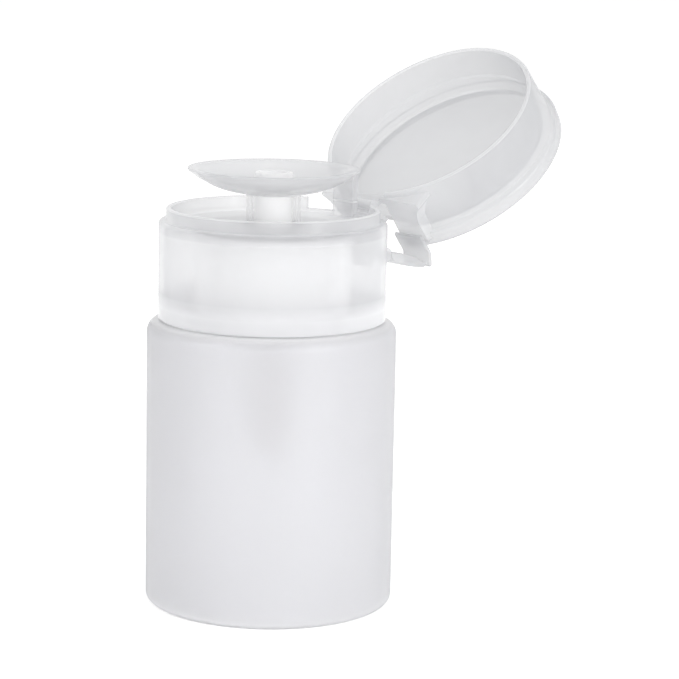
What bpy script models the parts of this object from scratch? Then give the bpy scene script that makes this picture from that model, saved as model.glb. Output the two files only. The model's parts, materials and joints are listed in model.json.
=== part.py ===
"""A push-down pump bottle for nail polish remover, with its flip lid swung open.

The bottle stands on its flat base. The origin is the middle of that base and +Z is up. The
hinge of the lid is at the back, towards +Y. Every piece is its own object. The lid and its
straps are modelled as they lie when the lid is shut, and empties then swing them open.
"""

import math

import bmesh
import bpy
from mathutils import Matrix, Vector

MM = 0.001
FULL_TURN = 2 * math.pi
ROUND_STEPS = 48
SMALL_STEPS = 24
WELD = 0.001 * MM
OVERRUN = 3.0 * MM
SHARP_ANGLE = math.radians(35)

# Gaps: between pieces that rest on each other, and between pieces that slide
SEAT_GAP = 0.3 * MM
RUNNING_GAP = 0.2 * MM

# The blown bottle
BODY_RADIUS = 29.0 * MM
BODY_WALL = 1.1 * MM
BASE_ROUND = 1.4 * MM
SHOULDER_HEIGHT = 66.5 * MM
SHOULDER_ROUND = 3.0 * MM
NECK_RADIUS = 15.3 * MM
NECK_BORE = 13.2 * MM
NECK_HEIGHT = 16.1 * MM
NECK_CHAMFER = 0.4 * MM
NECK_TOP = SHOULDER_HEIGHT + NECK_HEIGHT

# The screw thread on the neck and inside the closure
THREAD_PITCH = 4.2 * MM
THREAD_DEPTH = 1.2 * MM
THREAD_FOOT = 1.9 * MM
THREAD_CREST = 0.9 * MM
THREAD_ROOT = 0.5 * MM
THREAD_START = 3.5 * MM
NECK_THREAD_TURNS = 2.4
CLOSURE_THREAD_TURNS = 1.5
THREAD_STEPS = 32

# The gasket under the flange of the pump
GASKET_THICKNESS = 1.0 * MM
GASKET_RADIUS = 14.9 * MM
GASKET_BOTTOM = NECK_TOP + SEAT_GAP
GASKET_TOP = GASKET_BOTTOM + GASKET_THICKNESS

# The pump's housing: a cup under the deck, a barrel for the piston, a tail for the dip tube
FLANGE_RADIUS = 14.6 * MM
FLANGE_THICKNESS = 1.5 * MM
FLANGE_BOTTOM = GASKET_TOP + SEAT_GAP
FLANGE_TOP = FLANGE_BOTTOM + FLANGE_THICKNESS
CUP_WALL = 1.2 * MM
CUP_DEPTH = 13.2 * MM
BARREL_BORE = 4.1 * MM
BARREL_WALL = 0.9 * MM
BARREL_LENGTH = 30.0 * MM
VALVE_BORE = 2.4 * MM
VALVE_DEPTH = 2.9 * MM
VALVE_PORT = 1.1 * MM
PORT_LENGTH = 1.0 * MM
TAIL_BORE = 2.1 * MM
TAIL_WALL = 1.1 * MM
TAIL_LENGTH = 5.0 * MM
HOUSING_CONE = 2.8 * MM

# The closure: a collar with a threaded skirt inside it, a deck and a raised rim
CLOSURE_RADIUS = 26.43 * MM
CLOSURE_WALL = 1.3 * MM
CLOSURE_BOTTOM = SHOULDER_HEIGHT + SEAT_GAP
SEAL_RING_HEIGHT = 1.2 * MM
SEAL_RING_INNER = 10.8 * MM
SEAL_RING_OUTER = 12.4 * MM
DECK_THICKNESS = 1.5 * MM
LEDGE_RISE = 0.75 * MM
LEDGE_ROUND = 0.8 * MM
LEDGE_WIDTH = 1.74 * MM
RIM_RADIUS = CLOSURE_RADIUS - LEDGE_WIDTH
RIM_WALL = 1.25 * MM
RIM_HEIGHT = 2.9 * MM
RIM_ROUND = 0.3 * MM
SKIRT_GAP = 0.4 * MM
SKIRT_WALL = 1.4 * MM
SKIRT_LENGTH = 18.4 * MM
RIB_THICKNESS = 0.9 * MM
RIB_DEPTH = 1.6 * MM
RIB_LENGTH = 10.0 * MM
RIB_COUNT = 4
RIM_GAP_ANGLE = math.radians(53)
TONGUE_WIDTH = 6.8 * MM
TONGUE_RISE = 7.6 * MM
TONGUE_WALL = 1.8 * MM
TONGUE_SETBACK = 0.1 * MM
DECK_BOTTOM = FLANGE_TOP + SEAT_GAP + SEAL_RING_HEIGHT
DECK_TOP = DECK_BOTTOM + DECK_THICKNESS
LEDGE_TOP = DECK_TOP + LEDGE_RISE
RIM_TOP = LEDGE_TOP + RIM_HEIGHT
SKIRT_BORE = NECK_RADIUS + THREAD_DEPTH + SKIRT_GAP

# The pump plate: a shallow dish on a guide tube
PLATE_RADIUS = 19.88 * MM
PLATE_WALL = 1.3 * MM
PLATE_LIFT = 7.0 * MM
PLATE_RISE = 6.0 * MM
PLATE_EDGE = 0.25 * MM
PLATE_HOLE = 3.9 * MM
GUIDE_RADIUS = 6.3 * MM
GUIDE_WALL = 1.0 * MM
GUIDE_LENGTH = 9.2 * MM
GUIDE_GAP = 0.6 * MM
STROKE = 6.0 * MM
PLATE_BOTTOM = DECK_TOP + PLATE_LIFT
CUP_BORE = GUIDE_RADIUS + GUIDE_GAP
CUP_TOP = DECK_BOTTOM - SEAT_GAP
CUP_FLOOR = CUP_TOP - CUP_DEPTH
BARREL_BOTTOM = CUP_FLOOR - BARREL_LENGTH + SEAT_GAP

# The stem, which is the hollow piston rod, and the nozzle in the middle of the plate
STEM_RADIUS = 4.35 * MM
STEM_LENGTH = 9.4 * MM
STEM_SOCKET = 3.9 * MM
STEM_SOCKET_DEPTH = 2.4 * MM
STEM_BORE = 1.1 * MM
STEM_VALVE_DEPTH = 3.4 * MM
ROD_RADIUS = 2.3 * MM
ROD_NECK = 1.7 * MM
ROD_FOOT_RADIUS = 3.2 * MM
ROD_FOOT_THICKNESS = 1.5 * MM
STEM_TOP = PLATE_BOTTOM - SEAT_GAP
STEM_BOTTOM = STEM_TOP - STEM_LENGTH
NOZZLE_RADIUS = 4.45 * MM
NOZZLE_HEIGHT = 3.5 * MM
NOZZLE_ROUND = 0.4 * MM
NOZZLE_RECESS = 3.3 * MM
NOZZLE_RECESS_DEPTH = 0.9 * MM
NOZZLE_BORE = 0.8 * MM

# The lock ring, the piston, the balls and their cage
LOCK_RING_HEIGHT = 5.7 * MM
LOCK_RING_FLANGE = 1.5 * MM
LOCK_RING_WALL = 1.4 * MM
LOCK_SPIGOT_LENGTH = 3.7 * MM
PISTON_LENGTH = 7.7 * MM
PISTON_LIP = 1.4 * MM
PISTON_WAIST = 0.6 * MM
BALL_RADIUS = 1.8 * MM
BALL_SEAT_GAP = 0.05 * MM
CAGE_THICKNESS = 1.2 * MM
CAGE_BORE = 1.2 * MM
CAGE_SLOT_WIDTH = 1.0 * MM
CAGE_SLOTS = 3

# The return spring
SPRING_RADIUS = 2.85 * MM
SPRING_WIRE = 0.36 * MM
SPRING_CURLS = 8
POINTS_PER_CURL = 10

# The dip tube
DIP_TUBE_WALL = 0.6 * MM
DIP_TUBE_FLOOR_GAP = 1.5 * MM

# The lid, as it lies when it is shut
LID_OVERLAP = 0.67 * MM
LID_MOUTH_RADIUS = CLOSURE_RADIUS + LID_OVERLAP
LID_FLARE = 0.5 * MM
LID_WALL = 1.2 * MM
LID_HEIGHT = 15.95 * MM
LID_LIP_OVERHANG = 1.74 * MM
LID_LIP_RADIUS = LID_MOUTH_RADIUS + LID_LIP_OVERHANG
LID_LIP_BULGE = 0.2 * MM
LID_LIP_HEIGHT = 3.6 * MM
LID_LIP_WALL = 1.6 * MM
LID_PANEL_DROP = 2.0 * MM
LID_PANEL_THICKNESS = 1.3 * MM
LID_EDGE = 0.35 * MM
LID_STEP = 0.5 * MM
LID_STEP_HEIGHT = 8.3 * MM
LID_OPEN_ANGLE = math.radians(141.7)
LID_MOUTH = LEDGE_TOP + SEAT_GAP
LID_TOP = LID_MOUTH + LID_HEIGHT

# The hinge: a barrel in the notch of the lid that turns in a seat on the closure
HINGE_OFFSET = 2.82 * MM
HINGE_RISE = 1.3 * MM
HINGE_Y = CLOSURE_RADIUS + HINGE_OFFSET
HINGE_Z = LID_MOUTH + HINGE_RISE
HINGE_WIDTH = 7.6 * MM
BARREL_RADIUS = 1.3 * MM
WEB_THICKNESS = 1.4 * MM
WEB_DROP = 0.15 * MM
WEB_ROOT = 0.9 * MM
SEAT_WALL = 1.25 * MM
SEAT_DEPTH = 7.0 * MM
SEAT_SHELF_DROP = 0.1 * MM
HINGE_SEAT_TOP_DROP = 0.75 * MM

# The two straps that hold the lid open, each in a lower and an upper leaf
STRAP_INNER = 4.1 * MM
STRAP_WIDTH = 8.5 * MM
STRAP_THICKNESS = 0.9 * MM
STRAP_FOOT_DROP = 9.25 * MM
STRAP_FOOT_STAND = 0.77 * MM
STRAP_HEAD_RISE = 11.75 * MM
STRAP_HEAD_STAND = 0.85 * MM
STRAP_FOLD_RISE = 13.4 * MM
STRAP_FOLD_LEAN = 0.85 * MM
STRAP_FOLD_GAP = 1.45 * MM
STRAP_BELLY = 1.75 * MM
STRAP_BACK = 0.85 * MM
STRAP_BEND = 1.1 * MM
STRAP_LUG_HEIGHT = 2.6 * MM
STRAP_LUG_SLOPE = 1.6 * MM

# The flat pads and the notch at the back of the lid
PAD_SIDE = 13.25 * MM
PAD_FLARE = 3.0 * MM
PAD_FOOT_RISE = 0.9 * MM
PAD_FLARE_HEIGHT = 3.0 * MM
PAD_WAIST_HEIGHT = 6.6 * MM
PAD_ROOT = 0.7 * MM
NOTCH_MOUTH_WIDTH = 11.0 * MM
NOTCH_TOP_WIDTH = 8.6 * MM
NOTCH_REACH = 5.3 * MM

# Shapes of the dish, as shares of its radius past the guide tube and of its rise
DISH_SHARES = ((0, 0), (0.25, 0.1), (0.5, 0.245), (0.7, 0.475), (0.885, 0.72), (0.96, 0.87))

# The lower leaf's underside and back, as shares of its length and of its belly or back
BELLY_SHARES = ((0.06, 0.93), (0.22, 1), (0.44, 0.95), (0.65, 0.79), (0.86, 0.5))
BACK_SHARES = ((0.71, 0.32), (0.62, 1), (0.17, 1), (0.12, 0.53))

# The upper leaf's middle line, as shares of its length and of its bend
BEND_SHARES = ((0, 0), (0.25, 0.38), (0.5, 0.75), (0.6, 0.87), (0.68, 0.87), (0.76, 0.7), (1, 0))

# Colours and roughness of the materials
FROSTED_COLOUR = (0.78, 0.79, 0.81)
CLEAR_COLOUR = (0.84, 0.85, 0.87)
WHITE_COLOUR = (0.9, 0.9, 0.91)
RUBBER_COLOUR = (0.8, 0.8, 0.79)
STEEL_COLOUR = (0.62, 0.62, 0.63)
GLASS_COLOUR = (0.7, 0.8, 0.78)


def clear_scene():
    """Removes whatever objects the scene holds."""
    for thing in list(bpy.data.objects):
        bpy.data.objects.remove(thing)


def material(name, colour, roughness, metallic=0.0, alpha=1.0):
    """A Principled material with the piece's colour, roughness, metallic value and opacity."""
    made = bpy.data.materials.new(name)
    made.use_nodes = True
    shader = made.node_tree.nodes["Principled BSDF"]
    shader.inputs["Base Color"].default_value = (*colour, 1.0)
    shader.inputs["Roughness"].default_value = roughness
    shader.inputs["Metallic"].default_value = metallic
    shader.inputs["Alpha"].default_value = alpha
    made.diffuse_color = (*colour, alpha)
    return made


def place(name, shape, finish):
    """Turns a bmesh into an object with its material, smooth where its faces nearly line up."""
    bmesh.ops.recalc_face_normals(shape, faces=shape.faces)
    mesh = bpy.data.meshes.new(name)
    shape.to_mesh(mesh)
    shape.free()
    mesh.shade_smooth()
    mesh.set_sharp_from_angle(angle=SHARP_ANGLE)
    thing = bpy.data.objects.new(name, mesh)
    bpy.context.scene.collection.objects.link(thing)
    if finish:
        mesh.materials.append(finish)
    return thing


def arc(centre, radius, start, end, count):
    """Points of an arc in the plane of radius and height, with angles in degrees."""
    angles = [math.radians(start + (end - start) * i / count) for i in range(count + 1)]
    return [(centre[0] + radius * math.cos(a), centre[1] + radius * math.sin(a)) for a in angles]


def turned(name, outline, finish, steps=ROUND_STEPS):
    """Spins an outline of (radius, height) points about Z: a ring, or a solid that meets the axis."""
    shape = bmesh.new()
    corners = [shape.verts.new((radius, 0, height)) for radius, height in outline]
    pairs = list(zip(corners, corners[1:]))
    if all(radius > WELD for radius, height in outline):
        pairs.append((corners[-1], corners[0]))
    edges = [shape.edges.new(pair) for pair in pairs]
    bmesh.ops.spin(shape, geom=corners + edges, axis=(0, 0, 1), cent=(0, 0, 0),
                   steps=steps, angle=FULL_TURN, use_merge=True)
    bmesh.ops.remove_doubles(shape, verts=shape.verts, dist=WELD)
    return place(name, shape, finish)


def prism(name, outline, low, high, normal="X", finish=None):
    """Extrudes an outline along X from low to high, or along Z or Y where normal says so."""
    ways = {
        "X": lambda a, b, along: (along, a, b),
        "Y": lambda a, b, along: (a, along, b),
        "Z": lambda a, b, along: (a, b, along),
    }
    shape = bmesh.new()
    ring = [shape.verts.new(ways[normal](a, b, low)) for a, b in outline]
    face = shape.faces.new(ring)
    grown = bmesh.ops.extrude_face_region(shape, geom=[face])
    moved = [item for item in grown["geom"] if isinstance(item, bmesh.types.BMVert)]
    bmesh.ops.translate(shape, verts=moved, vec=Vector(ways[normal](0, 0, high - low)))
    return place(name, shape, finish)


def box(name, low, high):
    """A plain box between two corners, used as a guide for the Boolean modifiers."""
    outline = [(low[0], low[1]), (high[0], low[1]), (high[0], high[1]), (low[0], high[1])]
    return prism(name, outline, low[2], high[2], normal="Z")


def guide(thing):
    """Marks an object as a cutter or a guide, which is not a piece of the part."""
    thing.hide_render = True
    thing.display_type = "WIRE"
    return thing


def combine(thing, other, operation):
    """Adds a Boolean modifier that cuts, joins or intersects a guide object."""
    guide(other)
    step = thing.modifiers.new(other.name, "BOOLEAN")
    step.operation = operation
    step.solver = "EXACT"
    step.object = other
    return thing


def tube_along(name, points, radius, finish):
    """A round tube with filled caps along points, as a curve with a bevel."""
    curve = bpy.data.curves.new(name, "CURVE")
    curve.dimensions = "3D"
    curve.bevel_depth = radius
    curve.bevel_resolution = 1
    curve.use_fill_caps = True
    spline = curve.splines.new("POLY")
    spline.points.add(len(points) - 1)
    for spot, point in zip(spline.points, points):
        spot.co = (*point, 1.0)
    curve.materials.append(finish)
    thing = bpy.data.objects.new(name, curve)
    bpy.context.scene.collection.objects.link(thing)
    return thing


def thread_ridge(name, radius, way, start, turns):
    """A screw thread on a wall at a radius: way is 1 where it stands outwards, -1 inwards."""
    shape = bmesh.new()
    count = round(THREAD_STEPS * turns)
    rings = []
    for i in range(count + 1):
        angle = FULL_TURN * turns * i / count
        runout = min(1, 4 * min(i, count - i) / THREAD_STEPS)
        height = start + THREAD_PITCH * angle / FULL_TURN
        depth = way * THREAD_DEPTH * (0.15 + 0.85 * runout)
        root = radius - way * THREAD_ROOT
        section = [(root, -THREAD_FOOT / 2), (radius, -THREAD_FOOT / 2), (radius + depth, -THREAD_CREST / 2),
                   (radius + depth, THREAD_CREST / 2), (radius, THREAD_FOOT / 2), (root, THREAD_FOOT / 2)]
        rings.append([shape.verts.new((r * math.cos(angle), r * math.sin(angle), height + h))
                      for r, h in section])
    for ring, after in zip(rings, rings[1:]):
        for k in range(len(ring)):
            following = (k + 1) % len(ring)
            shape.faces.new((ring[k], ring[following], after[following], after[k]))
    shape.faces.new(rings[0])
    shape.faces.new(rings[-1])
    return place(name, shape, None)


def make_bottle(finish):
    """The blown bottle: a straight wall, a rounded shoulder and a threaded neck."""
    inner = BODY_RADIUS - BODY_WALL
    round_centre = (BODY_RADIUS - SHOULDER_ROUND, SHOULDER_HEIGHT - SHOULDER_ROUND)
    inner_round = SHOULDER_ROUND - BODY_WALL
    outline = [(0, 0)]
    outline += arc((BODY_RADIUS - BASE_ROUND, BASE_ROUND), BASE_ROUND, -90, 0, 4)
    outline += arc(round_centre, SHOULDER_ROUND, 0, 90, 6)
    outline += [(NECK_RADIUS, SHOULDER_HEIGHT), (NECK_RADIUS, NECK_TOP - NECK_CHAMFER),
                (NECK_RADIUS - NECK_CHAMFER, NECK_TOP), (NECK_BORE, NECK_TOP),
                (NECK_BORE, SHOULDER_HEIGHT - BODY_WALL)]
    outline += arc(round_centre, inner_round, 90, 0, 4)
    outline += [(inner, BODY_WALL + BASE_ROUND), (inner - BASE_ROUND, BODY_WALL), (0, BODY_WALL)]
    bottle = turned("bottle", outline, finish)
    start = SHOULDER_HEIGHT + THREAD_START
    ridge = thread_ridge("neck_thread_guide", NECK_RADIUS, 1, start, NECK_THREAD_TURNS)
    combine(bottle, ridge, "UNION")


def make_gasket(finish):
    """The soft washer between the neck and the flange of the pump."""
    bore = CUP_BORE + CUP_WALL + SEAT_GAP
    outline = [(bore, GASKET_TOP), (GASKET_RADIUS, GASKET_TOP), (GASKET_RADIUS, GASKET_BOTTOM),
               (bore, GASKET_BOTTOM)]
    turned("neck_gasket", outline, finish)


def make_housing(finish):
    """The pump's housing, one moulding open from the cup's mouth to the tail's bore."""
    cup_outer = CUP_BORE + CUP_WALL
    barrel_outer = BARREL_BORE + BARREL_WALL
    tail_outer = TAIL_BORE + TAIL_WALL
    seat_top = BARREL_BOTTOM - VALVE_DEPTH
    port_top = seat_top - (VALVE_BORE - VALVE_PORT)
    tail_top = port_top - PORT_LENGTH
    tail_bottom = tail_top - TAIL_LENGTH
    cone_top = CUP_FLOOR - CUP_WALL / 2
    outline = [
        (CUP_BORE, CUP_TOP), (cup_outer, CUP_TOP), (cup_outer, FLANGE_TOP), (FLANGE_RADIUS, FLANGE_TOP),
        (FLANGE_RADIUS, FLANGE_BOTTOM), (cup_outer, FLANGE_BOTTOM), (cup_outer, cone_top),
        (barrel_outer, cone_top - HOUSING_CONE), (barrel_outer, seat_top),
        (tail_outer, seat_top - barrel_outer + tail_outer), (tail_outer, tail_bottom),
        (TAIL_BORE, tail_bottom), (TAIL_BORE, tail_top), (VALVE_PORT, tail_top), (VALVE_PORT, port_top),
        (VALVE_BORE, seat_top), (VALVE_BORE, BARREL_BOTTOM), (BARREL_BORE, BARREL_BOTTOM),
        (BARREL_BORE, CUP_FLOOR), (CUP_BORE, CUP_FLOOR)]
    turned("pump_housing", outline, finish, SMALL_STEPS)
    return port_top, tail_top


def make_dip_tube(tail_top, finish):
    """The dip tube, pushed up into the tail of the housing."""
    outer = TAIL_BORE - SEAT_GAP
    inner = outer - DIP_TUBE_WALL
    top = tail_top - SEAT_GAP
    bottom = BODY_WALL + DIP_TUBE_FLOOR_GAP
    turned("dip_tube", [(inner, top), (outer, top), (outer, bottom), (inner, bottom)], finish, SMALL_STEPS)


def make_ball(name, port_top, finish):
    """A check ball that sits on the cone above its port."""
    centre = port_top - VALVE_PORT + (BALL_RADIUS + BALL_SEAT_GAP) * math.sqrt(2)
    shape = bmesh.new()
    bmesh.ops.create_icosphere(shape, subdivisions=2, radius=BALL_RADIUS)
    ball = place(name, shape, finish)
    ball.location = (0, 0, centre)


def make_ball_cage(finish):
    """The slotted ring that keeps the inlet ball down and carries the spring."""
    bottom = BARREL_BOTTOM + SEAT_GAP
    top = bottom + CAGE_THICKNESS
    outer = BARREL_BORE - SEAT_GAP
    cage = turned("ball_cage", [(CAGE_BORE, top), (outer, top), (outer, bottom), (CAGE_BORE, bottom)],
                  finish, SMALL_STEPS)
    slot_end = VALVE_BORE
    for i in range(CAGE_SLOTS):
        cutter = box(f"cage_slot_guide_{i}", (0, -CAGE_SLOT_WIDTH / 2, bottom - OVERRUN),
                     (slot_end, CAGE_SLOT_WIDTH / 2, top + OVERRUN))
        cutter.rotation_euler.z = FULL_TURN * (i + 0.5) / CAGE_SLOTS
        combine(cage, cutter, "DIFFERENCE")
    return top


def make_lock_ring(finish):
    """The ring that is pressed into the cup and keeps the piston in the barrel."""
    outer = CUP_BORE - SEAT_GAP
    bore = ROD_RADIUS + SEAT_GAP
    bottom = CUP_FLOOR + SEAT_GAP
    top = bottom + LOCK_RING_HEIGHT
    spigot = BARREL_BORE - SEAT_GAP
    spigot_bottom = bottom - LOCK_SPIGOT_LENGTH
    well = bottom + LOCK_RING_FLANGE
    outline = [(bore, spigot_bottom), (bore, top), (bore + LOCK_RING_WALL, top), (bore + LOCK_RING_WALL, well),
               (outer - LOCK_RING_WALL, well), (outer - LOCK_RING_WALL, top), (outer, top), (outer, bottom),
               (spigot, bottom), (spigot, spigot_bottom)]
    turned("lock_ring", outline, finish, SMALL_STEPS)
    return spigot_bottom


def make_piston(lock_bottom, finish):
    """The piston seal with a lip at each end, held on the neck of the rod."""
    top = lock_bottom - SEAT_GAP
    bottom = top - PISTON_LENGTH
    outer = BARREL_BORE - RUNNING_GAP
    bore = ROD_NECK + SEAT_GAP
    waist = outer - PISTON_WAIST
    outline = [(bore, top), (outer - PISTON_WAIST / 2, top), (outer, top - PISTON_LIP / 2),
               (waist, top - PISTON_LIP * 2), (waist, bottom + PISTON_LIP * 2),
               (outer, bottom + PISTON_LIP / 2), (outer - PISTON_WAIST / 2, bottom), (bore, bottom)]
    turned("piston_seal", outline, finish, SMALL_STEPS)
    return top, bottom


def make_stem(piston_top, piston_bottom, finish):
    """The hollow stem: a thick head under the plate, a thin rod and a foot below the piston."""
    socket_bottom = STEM_TOP - STEM_SOCKET_DEPTH
    seat_top = socket_bottom - STEM_VALVE_DEPTH
    port_top = seat_top - (VALVE_BORE - STEM_BORE)
    shoulder = piston_top + SEAT_GAP
    foot_top = piston_bottom - SEAT_GAP
    foot_bottom = foot_top - ROD_FOOT_THICKNESS
    outline = [
        (STEM_SOCKET, STEM_TOP), (STEM_RADIUS, STEM_TOP), (STEM_RADIUS, STEM_BOTTOM), (ROD_RADIUS, STEM_BOTTOM),
        (ROD_RADIUS, shoulder), (ROD_NECK, shoulder), (ROD_NECK, foot_top), (ROD_FOOT_RADIUS, foot_top),
        (ROD_FOOT_RADIUS, foot_bottom), (STEM_BORE, foot_bottom), (STEM_BORE, port_top),
        (VALVE_BORE, seat_top), (VALVE_BORE, socket_bottom), (STEM_SOCKET, socket_bottom)]
    turned("stem", outline, finish, SMALL_STEPS)
    return foot_bottom, socket_bottom, port_top


def make_spring(bottom, top, finish):
    """The return spring between the ball cage and the foot of the rod, one even helix."""
    low = bottom + SEAT_GAP + SPRING_WIRE
    high = top - SEAT_GAP - SPRING_WIRE
    count = SPRING_CURLS * POINTS_PER_CURL
    points = []
    for i in range(count + 1):
        share = i / count
        angle = FULL_TURN * SPRING_CURLS * share
        height = low + (high - low) * share
        points.append((SPRING_RADIUS * math.cos(angle), SPRING_RADIUS * math.sin(angle), height))
    points.insert(0, (SPRING_RADIUS, -2 * SPRING_WIRE, low))
    points.append((SPRING_RADIUS, 2 * SPRING_WIRE, high))
    tube_along("return_spring", points, SPRING_WIRE, finish)
    away = POINTS_PER_CURL // 2
    gaps = [math.dist(a, b) for i, a in enumerate(points) for b in points[i + away:]]
    print(f"return_spring: least gap to itself {(min(gaps) - 2 * SPRING_WIRE) / MM:.2f} mm")


def make_plate(finish):
    """The dish that is pressed, with its guide tube, as one moulding."""
    reach = PLATE_RADIUS - GUIDE_RADIUS
    under = [(GUIDE_RADIUS + reach * a, PLATE_BOTTOM + PLATE_RISE * b) for a, b in DISH_SHARES]
    rim_top = PLATE_BOTTOM + PLATE_RISE
    rim = [(PLATE_RADIUS, rim_top - 2 * PLATE_EDGE), (PLATE_RADIUS, rim_top - PLATE_EDGE),
           (PLATE_RADIUS - PLATE_EDGE, rim_top)]
    over = []
    for a, b in reversed(DISH_SHARES[:-1]):
        over.append((GUIDE_RADIUS + reach * a - PLATE_WALL * b, PLATE_BOTTOM + PLATE_RISE * b + PLATE_WALL))
    tube_bottom = PLATE_BOTTOM - GUIDE_LENGTH
    hole = [(PLATE_HOLE, PLATE_BOTTOM + PLATE_WALL), (PLATE_HOLE, PLATE_BOTTOM),
            (GUIDE_RADIUS - GUIDE_WALL, PLATE_BOTTOM), (GUIDE_RADIUS - GUIDE_WALL, tube_bottom),
            (GUIDE_RADIUS, tube_bottom)]
    turned("pump_plate", under + rim + over + hole, finish)


def make_nozzle(socket_bottom, finish):
    """The outlet nozzle: a turret in the middle of the dish with a plug that goes into the stem."""
    bottom = socket_bottom + SEAT_GAP
    seat = PLATE_BOTTOM + PLATE_WALL + SEAT_GAP
    top = seat + NOZZLE_HEIGHT
    plug = PLATE_HOLE - SEAT_GAP
    outline = [(NOZZLE_BORE, bottom), (NOZZLE_BORE, top - NOZZLE_RECESS_DEPTH),
               (NOZZLE_RECESS, top - NOZZLE_RECESS_DEPTH), (NOZZLE_RECESS, top),
               (NOZZLE_RADIUS - NOZZLE_ROUND, top), (NOZZLE_RADIUS, top - NOZZLE_ROUND),
               (NOZZLE_RADIUS, seat), (plug, seat), (plug, bottom)]
    turned("outlet_nozzle", outline, finish, SMALL_STEPS)


def closure_outline():
    """The closure's section: collar, ledge, raised rim, deck, seal ring and threaded skirt."""
    inner = CLOSURE_RADIUS - CLOSURE_WALL
    rim_inner = RIM_RADIUS - RIM_WALL
    skirt_outer = SKIRT_BORE + SKIRT_WALL
    skirt_bottom = DECK_BOTTOM - SKIRT_LENGTH
    outline = [(CLOSURE_RADIUS, CLOSURE_BOTTOM)]
    outline += arc((CLOSURE_RADIUS - LEDGE_ROUND, LEDGE_TOP - LEDGE_ROUND), LEDGE_ROUND, 0, 90, 3)
    outline += [(RIM_RADIUS, LEDGE_TOP), (RIM_RADIUS, RIM_TOP - RIM_ROUND), (RIM_RADIUS - RIM_ROUND, RIM_TOP),
                (rim_inner + RIM_ROUND, RIM_TOP), (rim_inner, RIM_TOP - RIM_ROUND), (rim_inner, DECK_TOP),
                (CUP_BORE, DECK_TOP), (CUP_BORE, DECK_BOTTOM), (SEAL_RING_INNER, DECK_BOTTOM),
                (SEAL_RING_INNER, DECK_BOTTOM - SEAL_RING_HEIGHT),
                (SEAL_RING_OUTER, DECK_BOTTOM - SEAL_RING_HEIGHT), (SEAL_RING_OUTER, DECK_BOTTOM),
                (SKIRT_BORE, DECK_BOTTOM), (SKIRT_BORE, skirt_bottom), (skirt_outer, skirt_bottom),
                (skirt_outer, DECK_BOTTOM), (inner, DECK_BOTTOM), (inner, CLOSURE_BOTTOM)]
    return outline


def hinge_bracket():
    """The closure's seat for the lid's barrel, with a sloping foot down to the collar."""
    root = CLOSURE_RADIUS - CLOSURE_WALL / 2
    side = HINGE_WIDTH / 2 - SEAT_GAP / 3
    wall = root * math.cos(math.asin(side / root))
    seat = BARREL_RADIUS + SEAT_GAP
    low = HINGE_Z - seat - SEAT_WALL
    shelf = LEDGE_TOP - SEAT_SHELF_DROP
    seat_top = HINGE_Z - HINGE_SEAT_TOP_DROP
    outline = [(wall, HINGE_Z - SEAT_DEPTH), (HINGE_Y - seat - SEAT_WALL, HINGE_Z - SEAT_DEPTH),
               (HINGE_Y + seat / 2, low), (HINGE_Y + seat + SEAT_WALL / 3, HINGE_Z - seat),
               (HINGE_Y + seat + SEAT_WALL / 3, seat_top), (HINGE_Y - seat, seat_top),
               (HINGE_Y - seat - SEAT_GAP, shelf), (wall, shelf)]
    bracket = prism("bracket_guide", outline, -side, side)
    groove = [(HINGE_Y + a, HINGE_Z + b) for a, b in arc((0, 0), seat, 0, 345, 23)]
    cutter = prism("seat_guide", groove, -side - OVERRUN, side + OVERRUN)
    return combine(bracket, cutter, "DIFFERENCE")


def rim_tongue():
    """The tongue that stands up from the rim, between the straps, and fills the shut lid's notch."""
    outer = RIM_RADIUS - TONGUE_SETBACK
    inner = outer - TONGUE_WALL
    low = DECK_TOP - DECK_THICKNESS / 2
    high = RIM_TOP + TONGUE_RISE
    tongue = turned("tongue_guide", [(outer, low), (outer, high), (inner, high), (inner, low)], None)
    keep = box("tongue_keep_guide", (-TONGUE_WIDTH / 2, 0, low - OVERRUN),
               (TONGUE_WIDTH / 2, RIM_RADIUS + OVERRUN, high + OVERRUN))
    return combine(tongue, keep, "INTERSECT")


def strap_points():
    """The feet, heads and fold of the straps: P1 on the closure, P2 on the shut lid, F between."""
    foot = Vector((CLOSURE_RADIUS + STRAP_FOOT_STAND, LID_MOUTH - STRAP_FOOT_DROP))
    head = Vector((LID_MOUTH_RADIUS + STRAP_HEAD_STAND, LID_MOUTH + STRAP_HEAD_RISE))
    fold = foot + Vector((STRAP_FOLD_LEAN, STRAP_FOLD_RISE))
    return foot, head, fold


def open_strap_points():
    """Where the head and the fold lie with the lid open: the fold keeps both leaves' lengths."""
    foot, head, fold = strap_points()
    pivot = Vector((HINGE_Y, HINGE_Z))
    open_head = pivot + Matrix.Rotation(-LID_OPEN_ANGLE, 2) @ (head - pivot)
    lower = (fold - foot).length
    upper = (head - fold).length
    span = open_head - foot
    reach = min(1, max(-1, (lower ** 2 + span.length ** 2 - upper ** 2) / (2 * lower * span.length)))
    angle = math.atan2(span.y, span.x) - math.acos(reach)
    open_fold = foot + lower * Vector((math.cos(angle), math.sin(angle)))
    return foot, open_head, open_fold


def strap_lug(side):
    """The block on the closure's wall that one strap's foot is rooted in."""
    foot, head, fold = strap_points()
    root = CLOSURE_RADIUS - CLOSURE_WALL / 2
    wall = root * math.cos(math.asin((STRAP_INNER + STRAP_WIDTH) / root))
    face = foot.x - STRAP_THICKNESS / 2 - SEAT_GAP
    low = foot.y - STRAP_LUG_HEIGHT / 2
    high = foot.y + STRAP_LUG_HEIGHT / 2
    outline = [(wall, low - STRAP_LUG_SLOPE), (face, low), (face, high), (wall, high + STRAP_LUG_SLOPE)]
    ends = sorted((side * STRAP_INNER, side * (STRAP_INNER + STRAP_WIDTH)))
    return prism(f"strap_lug_guide_{side}", outline, ends[0], ends[1])


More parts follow.
